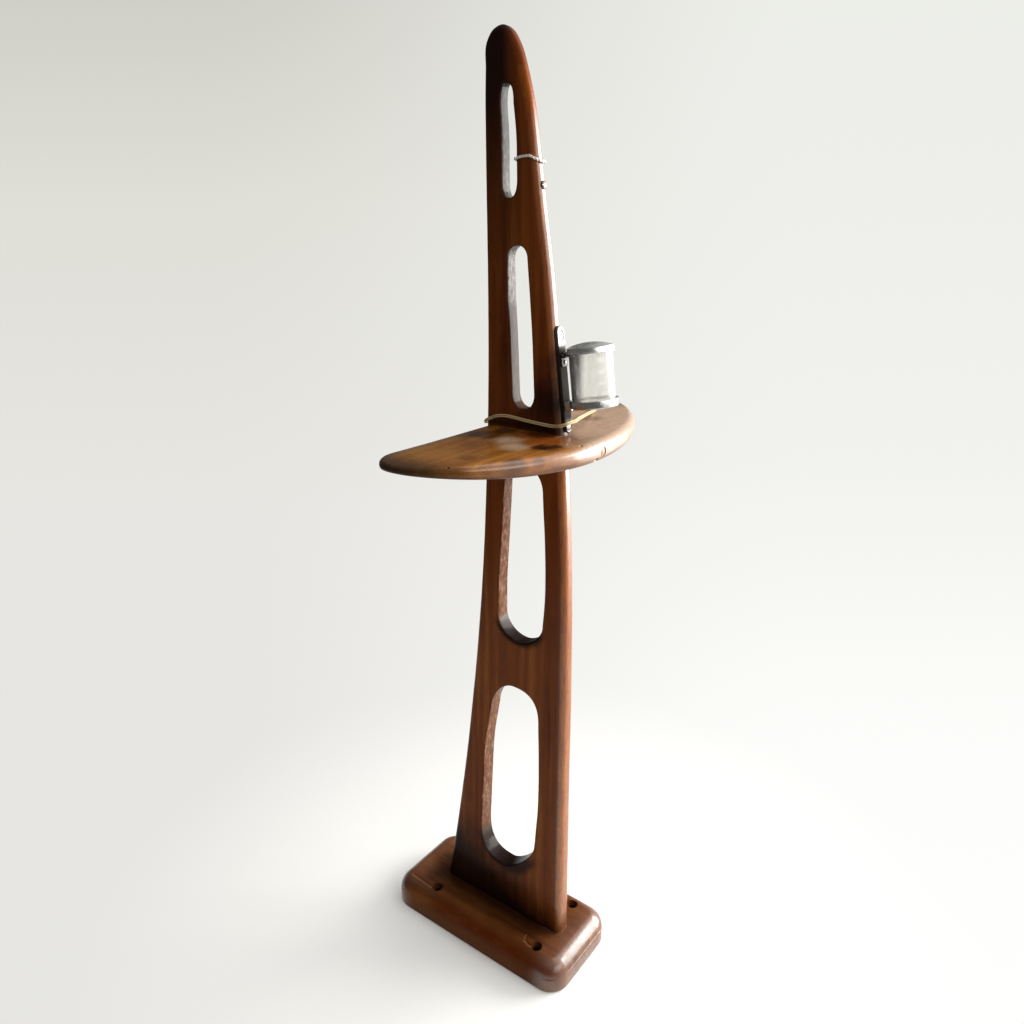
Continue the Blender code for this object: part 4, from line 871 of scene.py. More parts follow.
def build_plinth():
    me = slab("p", 0.0, 0.0, PLINTH_Z, PLINTH_CORNER, top=PLINTH_TOP_ROUND + 0.6, foot=PLINTH_FOOT_ROUND)
    bm = bmesh.new()
    bm.from_mesh(me)
    for k in range(1, 9):
        bmesh.ops.bisect_plane(bm, geom=bm.verts[:] + bm.edges[:] + bm.faces[:], dist=1e-7,
                               plane_co=(0, 0, (PLINTH_STEP_Z - 2.0 + 0.44 * k) * MM), plane_no=(0, 0, 1))
    bm.normal_update()
    xm = (PLINTH_X0 + PLINTH_X1) / 2
    for v in bm.verts:
        z = v.co.z / MM
        if z < 8:
            continue
        out = Vector((v.normal.x, v.normal.y, 0))
        if out.length > 1e-3:
            out.normalize()
        ends = clamp01((abs(v.co.x / MM - xm) - 92) / 16.0)
        draw = PLINTH_STEP * clamp01((z - PLINTH_STEP_Z + 3) / 5.0) * (1 - 0.4 * ends)
        crease = 0.80 * ends * math.exp(-((z - PLINTH_STEP_Z) / 0.55) ** 2)
        v.co -= out * (draw + crease) * MM
    bm.to_mesh(me)
    bm.free()
    ob = working("plinth", me)
    tools = [box_mesh("m", (TENON_X[0] - GAP, -TENON_T / 2 - GAP, PLINTH_Z - TENON_DEPTH - 0.6),
                      (TENON_X[1] + GAP, TENON_T / 2 + GAP, PLINTH_Z + 5))]
    for i, x in enumerate(HOLE_X):
        for j, y in enumerate((-HOLE_Y, HOLE_Y)):
            me = turned("hole", eased(((0, PLINTH_Z + 2), (HOLE_MOUTH_R + 0.5, PLINTH_Z + 2),
                                       (HOLE_MOUTH_R, PLINTH_Z - 1.0),
                                       (HOLE_MOUTH_R - 0.5, PLINTH_Z - HOLE_MOUTH_DEPTH),
                                       (HOLE_R, PLINTH_Z - HOLE_MOUTH_DEPTH - 2.6),
                                       (HOLE_R, -2), (0, -2)), 0.6), 40)
            for v in me.vertices:                      # hand-cut mouths aren't quite round
                k = clamp01((v.co.z / MM - 26) / 8)
                a = math.atan2(v.co.y, v.co.x)
                w = 1 + k * 0.10 * noise.noise(Vector((math.cos(a) * 1.3, math.sin(a) * 1.3, i * 5 + j * 9)))
                v.co.x *= w
                v.co.y *= w
            me.transform(Matrix.Translation(Vector((x, y, 0)) * MM))
            tools.append(me)
    for x in FOOT_SCREW_X:
        tools.append(turned("hole", ((0, PLINTH_Z - TENON_DEPTH + 1), (2.1 + GAP, PLINTH_Z - TENON_DEPTH + 1),
                                     (2.1 + GAP, 4.0), (FOOT_HEAD + 0.2, 0.6), (FOOT_HEAD + 0.2, -1),
                                     (0, -1)), 32, Matrix.Translation(Vector((x, 0, 0)) * MM)))
    carve(ob, joined("t", tools))
    for a, b, w, d, sd in (((-103, -36.5, 34.3), (-69, -39.0, 34.2), 3.2, 1.5, 1),
                           ((59.5, -30.0, 34.2), (62.5, -37.0, 34.2), 1.8, 0.8, 2),
                           ((62.0, -36.5, 34.2), (71.5, -39.5, 34.3), 2.6, 1.0, 3),
                           ((78.5, 41.0, 34.2), (72.5, 44.0, 34.2), 2.4, 0.9, 4)):
        carve(ob, gouge(a, b, w, d, sd))
    clean(ob.data)
    me = ob.data.copy()
    bpy.data.objects.remove(ob)
    sliced(me, 0, 9.0, PLINTH_X0, PLINTH_X1)
    sliced(me, 1, 9.0, -PLINTH_Y / 2, PLINTH_Y / 2)
    undulate(me, ((0.22, 60, 3.1), (0.10, 17, 8.2)),
             lambda co, n: clamp01((co.z / MM - 1.0) / 6.0))

    def wear(p, n):
        end = clamp01((p.x - 78) / 22.0) + 0.55 * clamp01((-p.x - 84) / 22.0)
        return clamp01(end * (0.35 + 0.9 * math.hypot(n.x, n.y)))
    set_attribute(me, "polish", wear)
    return show("wood_plinth", me, PLINTH_WOOD, "stand", "plinth_wood", "base_plinth", angle=42)


# ------------------------------------------------------------ blade
def slot_loop(sides, top, bottom, powers, n=14, per=8):
    right = spline_through([(r, z) for z, l, r in sides], per)
    left = spline_through([(l, z) for z, l, r in reversed(sides)], per)

    def quarter(p, apex, rising, power):
        pts = []
        for k in range(1, n):
            a = math.pi / 2 * k / n
            if not rising:
                a = math.pi / 2 - a
            u, w = math.cos(a) ** (2 / power), math.sin(a) ** (2 / power)
            pts.append(Vector((apex[0] + (p[0] - apex[0]) * u, p[1] + (apex[1] - p[1]) * w)))
        return pts
    return (right + quarter(right[-1], top, True, powers[0]) + [Vector(top)]
            + quarter(left[0], top, False, powers[1]) + left
            + quarter(left[-1], bottom, True, powers[2]) + [Vector(bottom)]
            + quarter(right[0], bottom, False, powers[3]))


def build_blade():
    front = [(x, h) for h, x in FRONT_EDGE]
    back = [(x, h) for h, x in reversed(BACK_EDGE)]
    outline = spline_through(front + list(NOSE) + back, 9)
    me = flat_mesh("blade", [outline], 8.0, 'XZ')
    bm = bmesh.new()
    bm.from_mesh(me)
    rim = [e for e in bm.edges if len(e.link_faces) == 2
           and sum(abs(f.normal.y) > 0.999 for f in e.link_faces) == 1
           and not all(v.co.z < 16.5 * MM for v in e.verts)]
    bmesh.ops.bevel(bm, geom=rim, offset=BLADE_EDGE_ROUND * MM, segments=12, profile=0.5,
                    affect='EDGES', clamp_overlap=False)
    for v in bm.verts:
        v.co.y *= blade_t(v.co.z / MM) / 16.0
    bm.to_mesh(me)
    bm.free()
    ob = working("blade", me)
    carve(ob, joined("slots", [flat_mesh("slot", [slot_loop(*s)], 20.0, 'XZ') for s in SLOTS]))
    clean(ob.data)
    soften(ob, 2.4, 5, 62)
    clean(ob.data)
    carve(ob, flat_mesh("shoulders", [
        [(-110, -25), (120, -25), (120, 25), (-110, 25)],
        [(TENON_X[0], -TENON_T / 2), (TENON_X[1], -TENON_T / 2),
         (TENON_X[1], TENON_T / 2), (TENON_X[0], TENON_T / 2)]],
        (PLINTH_Z + GAP - 10) / 2, 'XY', (PLINTH_Z + GAP + 10) / 2))
    pilots = [turned("p", ((0, 2), (SCREW_R + GAP, 2), (SCREW_R + GAP, -20), (0, -21)), 24, along_x(s))
              for s in STRAP_SCREWS]
    pilots.append(turned("p", ((0, 3), (1.4 + GAP, 3), (1.4 + GAP, -14), (0, -15)), 24, EDGE_M))
    pilots += [turned("p", ((0, 32.0), (2.1 + GAP, 31.0), (2.1 + GAP, 10), (0, 10)), 24,
                      Matrix.Translation(Vector((x, 0, 0)) * MM)) for x in FOOT_SCREW_X]
    pilots.append(turned("p", ((0, 90), (1.9 + GAP, 90), (1.9 + GAP, 58), (0, 57)), 24, NOSE_M))
    carve(ob, joined("pilots", pilots))
    clean(ob.data)
    me = ob.data.copy()
    bpy.data.objects.remove(ob)
    sliced(me, 2, 7.0, 34, HEIGHT)
    sliced(me, 0, 8.0, -74, 88)

    def slot_share(x, z):
        """1 well inside the outline, where only the slots' walls face sideways."""
        a, b = x - at(BACK_EDGE, z), at(FRONT_EDGE, z) - x
        return clamp01((min(a, b) - 5.5) / 2.0) if z < 880 else 0.0

    def amount(co, n):
        x, z = co.x / MM, co.z / MM
        side = clamp01((0.75 - abs(n.y)) / 0.5)
        near_joint = clamp01((z - 36) / 10.0) * clamp01(abs(z - 581) / 20.0)
        k = 1.0 + 1.5 * side * slot_share(x, z)
        if 586 < z < 690 and x > at(FRONT_EDGE, z) - 4:
            k = 0.12                                   # the strap's seat was dressed flat
        return k * near_joint
    undulate(me, ((0.20, 70, 4.4), (0.09, 14, 1.2)), amount)
    set_attribute(me, "front", lambda p, n: clamp01((BLADE_EDGE_ROUND + 0.4 - (at(FRONT_EDGE, p.z) - p.x)) / 2.5)
                  if p.z < 884 else 0.0)
    set_attribute(me, "across", lambda p, n: clamp01((p.x - at(BACK_EDGE, p.z)) / (at(FRONT_EDGE, p.z) - at(BACK_EDGE, p.z)))
                  if p.z < 884 else clamp01((p.x + 5) / 38.0))
    set_attribute(me, "terminator_shade", lambda p, n: clamp01(1 - abs(at(FRONT_EDGE, p.z) - p.x - BLADE_EDGE_ROUND - 2.0) / 4.5)
                  * clamp01(-n.y * 3) if p.z < 884 else 0.0)
    set_attribute(me, "lip_shade", lambda p, n: clamp01(1.25 - abs(abs(n.y) - 0.62) / 0.30) * slot_share(p.x, p.z))
    set_attribute(me, "polish", lambda p, n: clamp01((BLADE_EDGE_ROUND + 1.0 - (at(FRONT_EDGE, min(p.z, 884)) - p.x)) / 3.5)
                  * (1.0 - eased_step(p.z, 800, 872)))
    set_attribute(me, "slot", lambda p, n: clamp01((0.85 - abs(n.y)) / 0.4) * slot_share(p.x, p.z))
    return show("wood_upright", me, BLADE_WOOD, "stand", "blade_wood", "upright_blade", angle=40)


# ------------------------------------------------------------ shelf
SHELF_MID = SHELF_TOP - SHELF_T_MID / 2
NOSE_M = Matrix.Translation(Vector((0, 0, SHELF_MID)) * MM) @ TO_X
NOSE_X = SHELF_BACK + SHELF_REACH
PLUG_IN = NOSE_X - 9.0
EDGE_X = at(FRONT_EDGE, EDGE_SCREW_Z)
EDGE_LEAN = math.atan2(at(FRONT_EDGE, EDGE_SCREW_Z - 5) - at(FRONT_EDGE, EDGE_SCREW_Z + 5), 10)
EDGE_M = (Matrix.Translation(Vector((EDGE_X, 0, EDGE_SCREW_Z)) * MM)
          @ Matrix.Rotation(-EDGE_LEAN, 4, 'Y') @ TO_X)


def front_x(y):
    return SHELF_BACK + SHELF_REACH * max(0.0, 1 - abs(y / SHELF_HALF) ** SHELF_POWER) ** (1 / SHELF_POWER)


def front_normal(y):
    return math.atan2(front_x(y - 0.05) - front_x(y + 0.05), 0.1)


def shelf_thickness(y):
    u = min(1.0, abs(y) / SHELF_HALF)
    return SHELF_T_TIP + (SHELF_T_MID - SHELF_T_TIP) * (1 - u * u) ** SHELF_T_POWER


def build_shelf():
    y_turn = 0.6 * SHELF_HALF
    while front_x(y_turn) - SHELF_BACK > SHELF_TIP_R * (1 + math.cos(front_normal(y_turn))):
        y_turn += 0.05
    a_turn = front_normal(y_turn)
    tip_y = y_turn - SHELF_TIP_R * math.sin(a_turn)
    rows = 70
    ys = [tip_y * math.sin(math.pi / 2 * (2 * i / rows - 1)) for i in range(rows + 1)]
    tip = []
    for k in range(1, 13):
        y = tip_y + (y_turn - tip_y) * k / 12
        tip.append(Vector((front_x(y), y)))
    for k in range(1, 18):
        a = a_turn + (math.pi - a_turn) * k / 18
        tip.append(Vector((SHELF_BACK + SHELF_TIP_R * (1 + math.cos(a)), tip_y + SHELF_TIP_R * math.sin(a))))
    front = [Vector((front_x(y), y)) for y in ys]
    back = [Vector((SHELF_BACK, y)) for y in reversed(ys)]
    near = [Vector((p.x, -p.y)) for p in reversed(tip)]
    loop = front + tip + back + near
    n = len(loop)
    normals = []
    for i in range(n):
        d = (loop[(i + 1) % n] - loop[i]).normalized() + (loop[i] - loop[i - 1]).normalized()
        normals.append(Vector((d.y, -d.x)).normalized())
    arcs = 10
    rings = []
    bm = bmesh.new()
    for half in (1, -1):
        for k in range(arcs + 1):
            a = math.pi / 2 * (1 - k / arcs) if half == 1 else -math.pi / 2 * k / arcs
            if half == -1 and k == 0:
                continue
            ring = []
            for p, nn in zip(loop, normals):
                t = shelf_thickness(p.y)
                r = 0.46 * t
                q = p - nn * (r * (1 - math.cos(a)))
                z = SHELF_TOP - r + r * math.sin(a) if half == 1 else SHELF_TOP - t + r + r * math.sin(a)
                ring.append(bm.verts.new((q.x * MM, q.y * MM, z * MM)))
            rings.append(ring)
    for r0, r1 in zip(rings, rings[1:]):
        for i in range(n):
            j = (i + 1) % n
            bm.faces.new((r0[i], r1[i], r1[j], r0[j]))
    bm.faces.new(rings[0])
    low = rings[-1]
    nf, nt = len(front), len(tip)
    b0 = nf + nt
    for i in range(nf - 1):
        bm.faces.new((low[i], low[i + 1], low[b0 + nf - 2 - i], low[b0 + nf - 1 - i]))
    bm.faces.new([low[nf - 1]] + low[nf:nf + nt] + [low[b0]])
    bm.faces.new([low[b0 + nf - 1]] + low[b0 + nf:] + [low[0]])
    bmesh.ops.recalc_face_normals(bm, faces=bm.faces)
    me = bpy.data.meshes.new("shelf")
    bm.to_mesh(me)
    bm.free()
    ob = working("shelf", me)
    zc = SHELF_MID
    half_t = blade_t(zc) / 2 + GAP
    xe = at(FRONT_EDGE, zc) + GAP + 0.1
    er = BLADE_EDGE_ROUND
    notch = [Vector((SHELF_BACK - 30, -half_t)), Vector((xe - er, -half_t))]
    for k in range(1, 20):
        a = -math.pi / 2 + math.pi * k / 20
        notch.append(Vector((xe - er + er * math.cos(a) ** 0.72,
                             math.copysign(half_t * abs(math.sin(a)) ** 0.72, a) if k != 10 else 0.0)))
    notch += [Vector((xe - er, half_t)), Vector((SHELF_BACK - 30, half_t))]
    me = flat_mesh("notch", [notch], 15.0, 'XY', zc)
    lean = (at(FRONT_EDGE, zc + 8) - at(FRONT_EDGE, zc - 8)) / 16.0
    for v in me.vertices:
        if v.co.x > 0:
            v.co.x += lean * (v.co.z - zc * MM)
    carve(ob, me)
    carve(ob, turned("nose", ((0, NOSE_X + 9), (PLUG_R + 0.14, NOSE_X + 9), (PLUG_R + 0.14, PLUG_IN - 5),
                              (1.9 + GAP, PLUG_IN - 8), (1.9 + GAP, 70), (0, 70)), 36, NOSE_M))
    # a bruise on the lower rim and two small dents in the upper one
    for c, r in (((114.8, -9.5, 574.0), (1.6, 3.2, 2.0)), ((109.0, -25.5, 589.3), (1.4, 2.2, 0.7)),
                 ((61.6, -141.0, 588.6), (1.2, 2.6, 0.6))):
        b2 = bmesh.new()
        bmesh.ops.create_icosphere(b2, subdivisions=3, radius=1.0)
        for v in b2.verts:
            k = 1 + 0.3 * noise.noise(v.co * 2 + Vector(c))
            v.co = (Vector((v.co.x * r[0], v.co.y * r[1], v.co.z * r[2])) * k + Vector(c)) * MM
        dent = bpy.data.meshes.new("dent")
        b2.to_mesh(dent)
        b2.free()
        carve(ob, dent)
    clean(ob.data)
    me = ob.data.copy()
    bpy.data.objects.remove(ob)
    sliced(me, 0, 8.0, SHELF_BACK, NOSE_X)
    sliced(me, 1, 8.0, -SHELF_HALF, SHELF_HALF)

    def amount(co, n):
        x, y = co.x / MM, co.y / MM
        return 1.0 if not (-12 < y < 12 and x < 86) else 0.15
    undulate(me, ((0.30, 80, 6.6), (0.07, 15, 2.2)), amount)

    def wear(p, n):
        return clamp01(1.4 * math.hypot(n.x, n.y) * clamp01(n.z + 0.9)) * clamp01((150 - abs(p.y)) / 40)
    set_attribute(me, "polish", wear)
    set_attribute(me, "underside_shade", lambda p, n: clamp01(-n.z * 1.5))
    return show("wood_shelf", me, SHELF_WOOD, "stand", "shelf_wood", "shelf_leaf", angle=42)


# ------------------------------------------------------------ turned and flat metal
def cut_box(me, lo, hi, matrix=None):
    ob = working("w", me)
    tool = box_mesh("b", lo, hi)
    if matrix is not None:
        tool.transform(matrix)
    carve(ob, tool)
    clean(ob.data)
    out = ob.data.copy()
    bpy.data.objects.remove(ob)
    return out


def build_metal():
    for tag, x in zip(("rear", "front"), FOOT_SCREW_X):
        me = turned("s", eased(((0, 31.0), (0.5, 30.2), (2.0, 25.5), (2.1, 4.1), (FOOT_HEAD - 0.35, 1.0),
                                (FOOT_HEAD - 0.35, 0.6), (0, 0.6)), 0.2), 48, Matrix.Translation(Vector((x, 0, 0)) * MM))
        me = cut_box(me, (x - 6, -0.55, 0.0), (x + 6, 0.55, 1.7))
        show("screw_upright_" + tag, me, STEEL, "stand", "screw_steel", "upright_screw_" + tag)

    me = turned("s", eased(((0, PLUG_IN - 4.6), (PLUG_R - 0.7, PLUG_IN - 4.6), (PLUG_R - 0.7, PLUG_IN - 5.2),
                            (1.9, PLUG_IN - 7.6), (1.9, 66), (0.4, 60.5), (0, 60)), 0.2), 48, NOSE_M)
    me = cut_box(me, (PLUG_IN - 5.8, -6, SHELF_MID - 0.5), (PLUG_IN - 3, 6, SHELF_MID + 0.5))
    show("screw_shelf", me, STEEL, "stand", "screw_steel", "shelf_screw")
    me = turned("plug", eased(((0, NOSE_X - 0.05), (2.4, NOSE_X - 0.35), (PLUG_R - 0.2, NOSE_X - 1.05), (PLUG_R, NOSE_X - 1.35),
                               (PLUG_R, PLUG_IN - 4.0), (PLUG_R - 0.5, PLUG_IN - 4.2), (0, PLUG_IN - 4.2)), 0.3), 48, NOSE_M)
    show("wood_shelf_plug", me, SHELF_WOOD, "stand", "plug_wood", "shelf_plug")

    # strap
    w = STRAP_W / 2
    pts = []
    for k in range(33):
        a = math.pi * k / 32
        pts.append(Vector((w * math.cos(a), STRAP_L - w + w * math.sin(a))))
    taper = math.atan2(w - STRAP_TIP_R, 9.0)
    pts.append(Vector((-w, STRAP_TIP_R + 8.5)))
    for k in range(33):
        a = math.pi + taper + (math.pi - 2 * taper) * k / 32
        pts.append(Vector((STRAP_TIP_R * math.cos(a), STRAP_TIP_R + STRAP_TIP_R * math.sin(a))))
    pts.append(Vector((w, STRAP_TIP_R + 8.5)))
    me = flat_mesh("strap", [pts], STRAP_T / 2, 'YZ', -STRAP_T / 2)
    ob = working("strap", me)
    soften(ob, 0.5, 4, 50)
    clean(ob.data)

    def local_x(s):
        return Matrix.Translation(Vector((0, 0, s)) * MM) @ TO_X
    cup_s, rivet_s = (LUG_LO + LUG_HI) / 2, 61.6
    holes = [turned("h", ((0, 1), (r + 0.55, 1), (r + 0.35, -0.35), (SCREW_R + GAP, -2.25),
                          (SCREW_R + GAP, -5), (0, -5)), 40, local_x(s)) for s, r in zip(STRAP_SCREWS, HEADS)]
    holes.append(turned("h", ((0, 1), (1.5 + GAP, 1), (1.5 + GAP, -1.7), (3.6, -STRAP_T - 0.5),
                              (0, -STRAP_T - 0.5)), 32, local_x(cup_s)))
    holes.append(turned("h", ((0, 1), (1.0 + GAP, 1), (1.0 + GAP, -5), (0, -5)), 28, local_x(rivet_s)))
    carve(ob, joined("h", holes))
    clean(ob.data)
    me = ob.data.copy()
    bpy.data.objects.remove(ob)
    sliced(me, 2, 4.0, 0, STRAP_L)
    sliced(me, 1, 3.0, -w, w)
    undulate(me, ((0.05, 9, 3.3),), lambda co, n: abs(n.x) ** 3 * clamp01((w - 1.2 - abs(co.y / MM)) / 1.0))
    me.transform(STRAP_M)
    show("metal_strap", me, STRAP_METAL, "stand", "strap_metal", "mount_strap", angle=30)

    for tag, h, r in zip(("lower", "upper"), STRAP_SCREWS, HEADS):
        me = turned("s", eased(((0, 0.05), (r * 0.5, -0.02), (r - 0.5, -0.18), (r, -0.45), (SCREW_R, -2.3), (SCREW_R, -13),
                                (0.4, -18.0), (0, -18.4)), 0.15), 48, local_x(h))
        tilt = 0.5 if tag == "upper" else 1.25
        me.transform(Matrix.Translation(Vector((0, 0, -h)) * MM))
        me = cut_box(me, (-0.85, -6, -0.42), (1, 6, 0.42), Matrix.Rotation(tilt, 4, 'X'))
        me.transform(STRAP_M @ Matrix.Translation(Vector((0, 0, h)) * MM))
        show("screw_strap_" + tag, me, STEEL, "stand", "screw_steel", "strap_screw_" + tag)

    # cup with its arm, rivet and washer
    ci = CUP_R - CUP_WALL
    prof = ((0, CUP_LO + 1.2), (ci, CUP_LO + 1.2), (ci, CUP_HI - 0.3), (ci + 0.4, CUP_HI), (CUP_R - 0.3, CUP_HI),
            (CUP_R, CUP_HI - 0.4), (CUP_R, CUP_LO + 0.8), (CUP_R - 0.8, CUP_LO), (0, CUP_LO))
    lug = working("lug", box_mesh("lug", (GAP, -STRAP_W / 2 + 0.2, LUG_LO),
                                  (POT_D - CUP_R + 0.7, STRAP_W / 2 - 0.2, LUG_HI), 0.5, 3))
    carve(lug, turned("c", ((0, 6.2), (1.5 + GAP, 6.2), (1.5 + GAP, -1), (0, -1)), 32, local_x(cup_s)))
    clean(lug.data)
    arm = lug.data.copy()
    bpy.data.objects.remove(lug)
    me = joined("cup", [turned("cup", eased(prof, 0.5, 4), 120, Matrix.Translation(Vector((POT_D, 0, 0)) * MM)), arm])
    undulate(me, ((0.06, 12, 9.1),), lambda co, n: math.hypot(n.x, n.y))
    me.transform(STRAP_M)
    show("metal_cup", me, CUP_NICKEL, "stand", "cup_metal", "jar_cup", angle=30)
    me = turned("r", eased(((0, 3.8), (1.1, 3.75), (1.5, 3.5), (1.5, -1.75), (2.65, -STRAP_T + 0.1), (0, -STRAP_T + 0.1)), 0.15),
                40, along_x(cup_s))
    show("rivet_cup", me, DARK_STEEL, "stand", "dark_steel", "cup_rivet")
    me = turned("w", eased(((0, CUP_LO + 2.6), (ci - 0.5, CUP_LO + 2.6), (ci - 0.5, CUP_LO + 1.5), (0, CUP_LO + 1.5)), 0.3), 96, POT_M)
    show("cork_washer", me, CORK, "stand", "cork", "cup_washer")

    # glass pot
    lo, hi = CUP_LO + 2.9, LID_LO + 2.3
    gi = GLASS_R - GLASS_WALL
    prof = [(0, lo + GLASS_FLOOR + 0.5), (gi * 0.5, lo + GLASS_FLOOR + 0.35), (gi - 2.0, lo + GLASS_FLOOR)]
    prof += [(gi - 2.0 + 2.0 * math.sin(math.pi / 2 * k / 8), lo + GLASS_FLOOR + 2.0 - 2.0 * math.cos(math.pi / 2 * k / 8))
             for k in range(1, 9)]
    prof += [(gi + 0.12 * math.sin(k * 1.9), lo + GLASS_FLOOR + 2.0 + (hi - 1.2 - lo - GLASS_FLOOR - 2.0) * k / 14) for k in range(1, 15)]
    prof += [(gi + GLASS_WALL / 2 - GLASS_WALL / 2 * math.cos(math.pi * k / 10), hi - 0.7 + 0.7 * math.sin(math.pi * k / 10))
             for k in range(1, 10)]
    prof += [(GLASS_R - 0.02 + 0.02 * math.cos(k * 2.3), hi - 1.2 + (lo + 2.0 - hi + 1.2) * k / 14) for k in range(0, 14)]
    prof += [(GLASS_R - 1.8 + 1.8 * math.cos(math.pi / 2 * k / 8), lo + 1.8 - 1.8 * math.sin(math.pi / 2 * k / 8)) for k in range(0, 9)]
    prof += [(GLASS_R * 0.55, lo + 0.25), (0, lo + 0.45)]
    me = turned("glass", prof, 128)
    undulate(me, ((0.08, 22, 7.7),), lambda co, n: math.hypot(n.x, n.y) * clamp01(min(co.z / MM - lo, hi - co.z / MM) / 6.0))
    me.transform(POT_M)
    show("glass_pot", me, GLASS, "stand", "pot_glass", "jar_glass", angle=60)

    # lid
    li = LID_R - LID_WALL

    def dome(r, base, height, radius):
        return base + height * (1 - (r / radius) ** 2)
    prof = [(19.0 * k / 24, dome(19.0 * k / 24, LID_HI - 0.5, LID_DOME, LID_R - 0.8)) for k in range(25)]
    prof += [(LID_R - 0.8, LID_HI - 0.42), (LID_R - 0.35, LID_HI - 0.62), (LID_R - 0.15, LID_HI - 1.0), (LID_R - 0.15, LID_LO + 1.5)]
    prof += [(LID_R - 0.15 + 0.42 * math.sin(math.pi * k / 8), LID_LO + 0.75 + 0.72 * math.cos(math.pi * k / 8)) for k in range(0, 9)]
    prof += [(li + 0.1, LID_LO), (li, LID_LO + 0.15), (li, LID_HI - 1.2)]
    prof += [(r, dome(r, LID_HI - 1.3, LID_DOME - 0.2, LID_R - 0.8)) for r in (18.6, 17.0, 14.5, 12, 9, 6, 3, 0)]
    me = turned("lid", prof, 128)
    undulate(me, ((0.07, 11, 5.5),), lambda co, n: 1.0 if n.z > 0.2 else 0.4)
    me.transform(POT_M)
    show("metal_lid", me, LID_NICKEL, "lid", "lid_metal", "lid_cap", angle=38)
    me = turned("liner", eased(((0, hi + 1.2), (li - 0.5, hi + 1.2), (li - 0.5, hi + 0.35), (0, hi + 0.35)), 0.25), 96, POT_M)
    show("card_liner", me, CARD, "lid", "seal_disc", "lid_liner")

    # hinge
    def knuckle(y0, y1, r=HINGE_R):
        return turned("k", eased(((0, y1), (r, y1), (r, y0), (0, y0)), 0.18), 48, HINGE_M)
    bore = turned("bore", ((0, 8), (PIN_R + 0.3, 8), (PIN_R + 0.3, -8), (0, -8)), 32, HINGE_M)
    midw, hw = 1.5, HINGE_W / 2
    rim_d = POT_D - LID_R - 0.25
    ob = working("leaf", knuckle(-midw, midw))
    tab = box_mesh("b", (HINGE_D + 1.6, -midw, HINGE_S - 1.2), (rim_d - GAP, midw, HINGE_S + 0.6), 0.15, 2)
    tab.transform(STRAP_M)
    carve(ob, tab, 'UNION')
    tongue = box_mesh("b", (rim_d - GAP - 0.9, -2.6, HINGE_S - 1.2), (rim_d - GAP, 2.6, HINGE_S + 4.6), 0.25, 3)
    tongue.transform(STRAP_M)
    carve(ob, tongue, 'UNION')
    carve(ob, bore.copy())
    clean(ob.data)
    me = ob.data.copy()
    bpy.data.objects.remove(ob)
    show("hinge_leaf", me, HINGE_METAL, "lid", "hinge_metal", "lid_leaf")

    me = box_mesh("hb", (GAP, -hw, HINGE_S - 10.0), (GAP + 1.1, hw, HINGE_S + 0.3), 0.3, 3)
    me.transform(STRAP_M)
    ob = working("bracket", me)
    carve(ob, joined("k", [knuckle(-hw, -midw - GAP), knuckle(midw + GAP, hw)]), 'UNION')
    mid = box_mesh("b", (GAP - 2, -midw - GAP, HINGE_S - 2.9), (8, midw + GAP, HINGE_S + 4))
    mid.transform(STRAP_M)
    carve(ob, mid)
    carve(ob, bore.copy())
    carve(ob, turned("c", ((0, 3), (1.0 + GAP, 3), (1.0 + GAP, -1), (0, -1)), 28, along_x(rivet_s)))
    clean(ob.data)
    me = ob.data.copy()
    bpy.data.objects.remove(ob)
    show("hinge_knuckles", me, HINGE_METAL, "stand", "hinge_metal", "hinge_bracket")
    me = turned("pin", eased(((0, hw + 1.1), (0.9, hw + 0.95), (1.5, hw + GAP + 0.1), (1.5, hw + GAP), (PIN_R, hw + GAP - 0.02),
                              (PIN_R, -hw - 0.6), (PIN_R - 0.3, -hw - 0.9), (0, -hw - 1.0)), 0.12), 40, HINGE_M)
    show("pin_hinge", me, STEEL, "stand", "screw_steel", "hinge_pin")
    out = GAP + 1.1
    me = turned("hr", eased(((0, out + GAP + 0.9), (1.1, out + GAP + 0.7), (1.9, out + GAP), (1.0, out + GAP - 0.02),
                             (1.0, -STRAP_T + 0.1), (0, -STRAP_T + 0.1)), 0.15), 40, along_x(rivet_s))
    show("rivet_hinge", me, STEEL, "stand", "screw_steel", "hinge_rivet")

    # small round-head screw in the blade's edge
    prof = [(3.45 * math.sin(math.pi / 2 * k / 10), GAP + 0.2 + 1.7 * math.cos(math.pi / 2 * k / 10)) for k in range(11)]
    prof += [(3.4, GAP), (1.4, GAP), (1.4, -9), (0.3, -13), (0, -13.3)]
    me = turned("es", prof, 48)
    me = cut_box(me, (-0.4, -6, 1.3), (0.4, 6, 5))
    me.transform(EDGE_M)
    show("screw_edge", me, EDGE_STEEL, "stand", "dark_steel", "edge_screw")


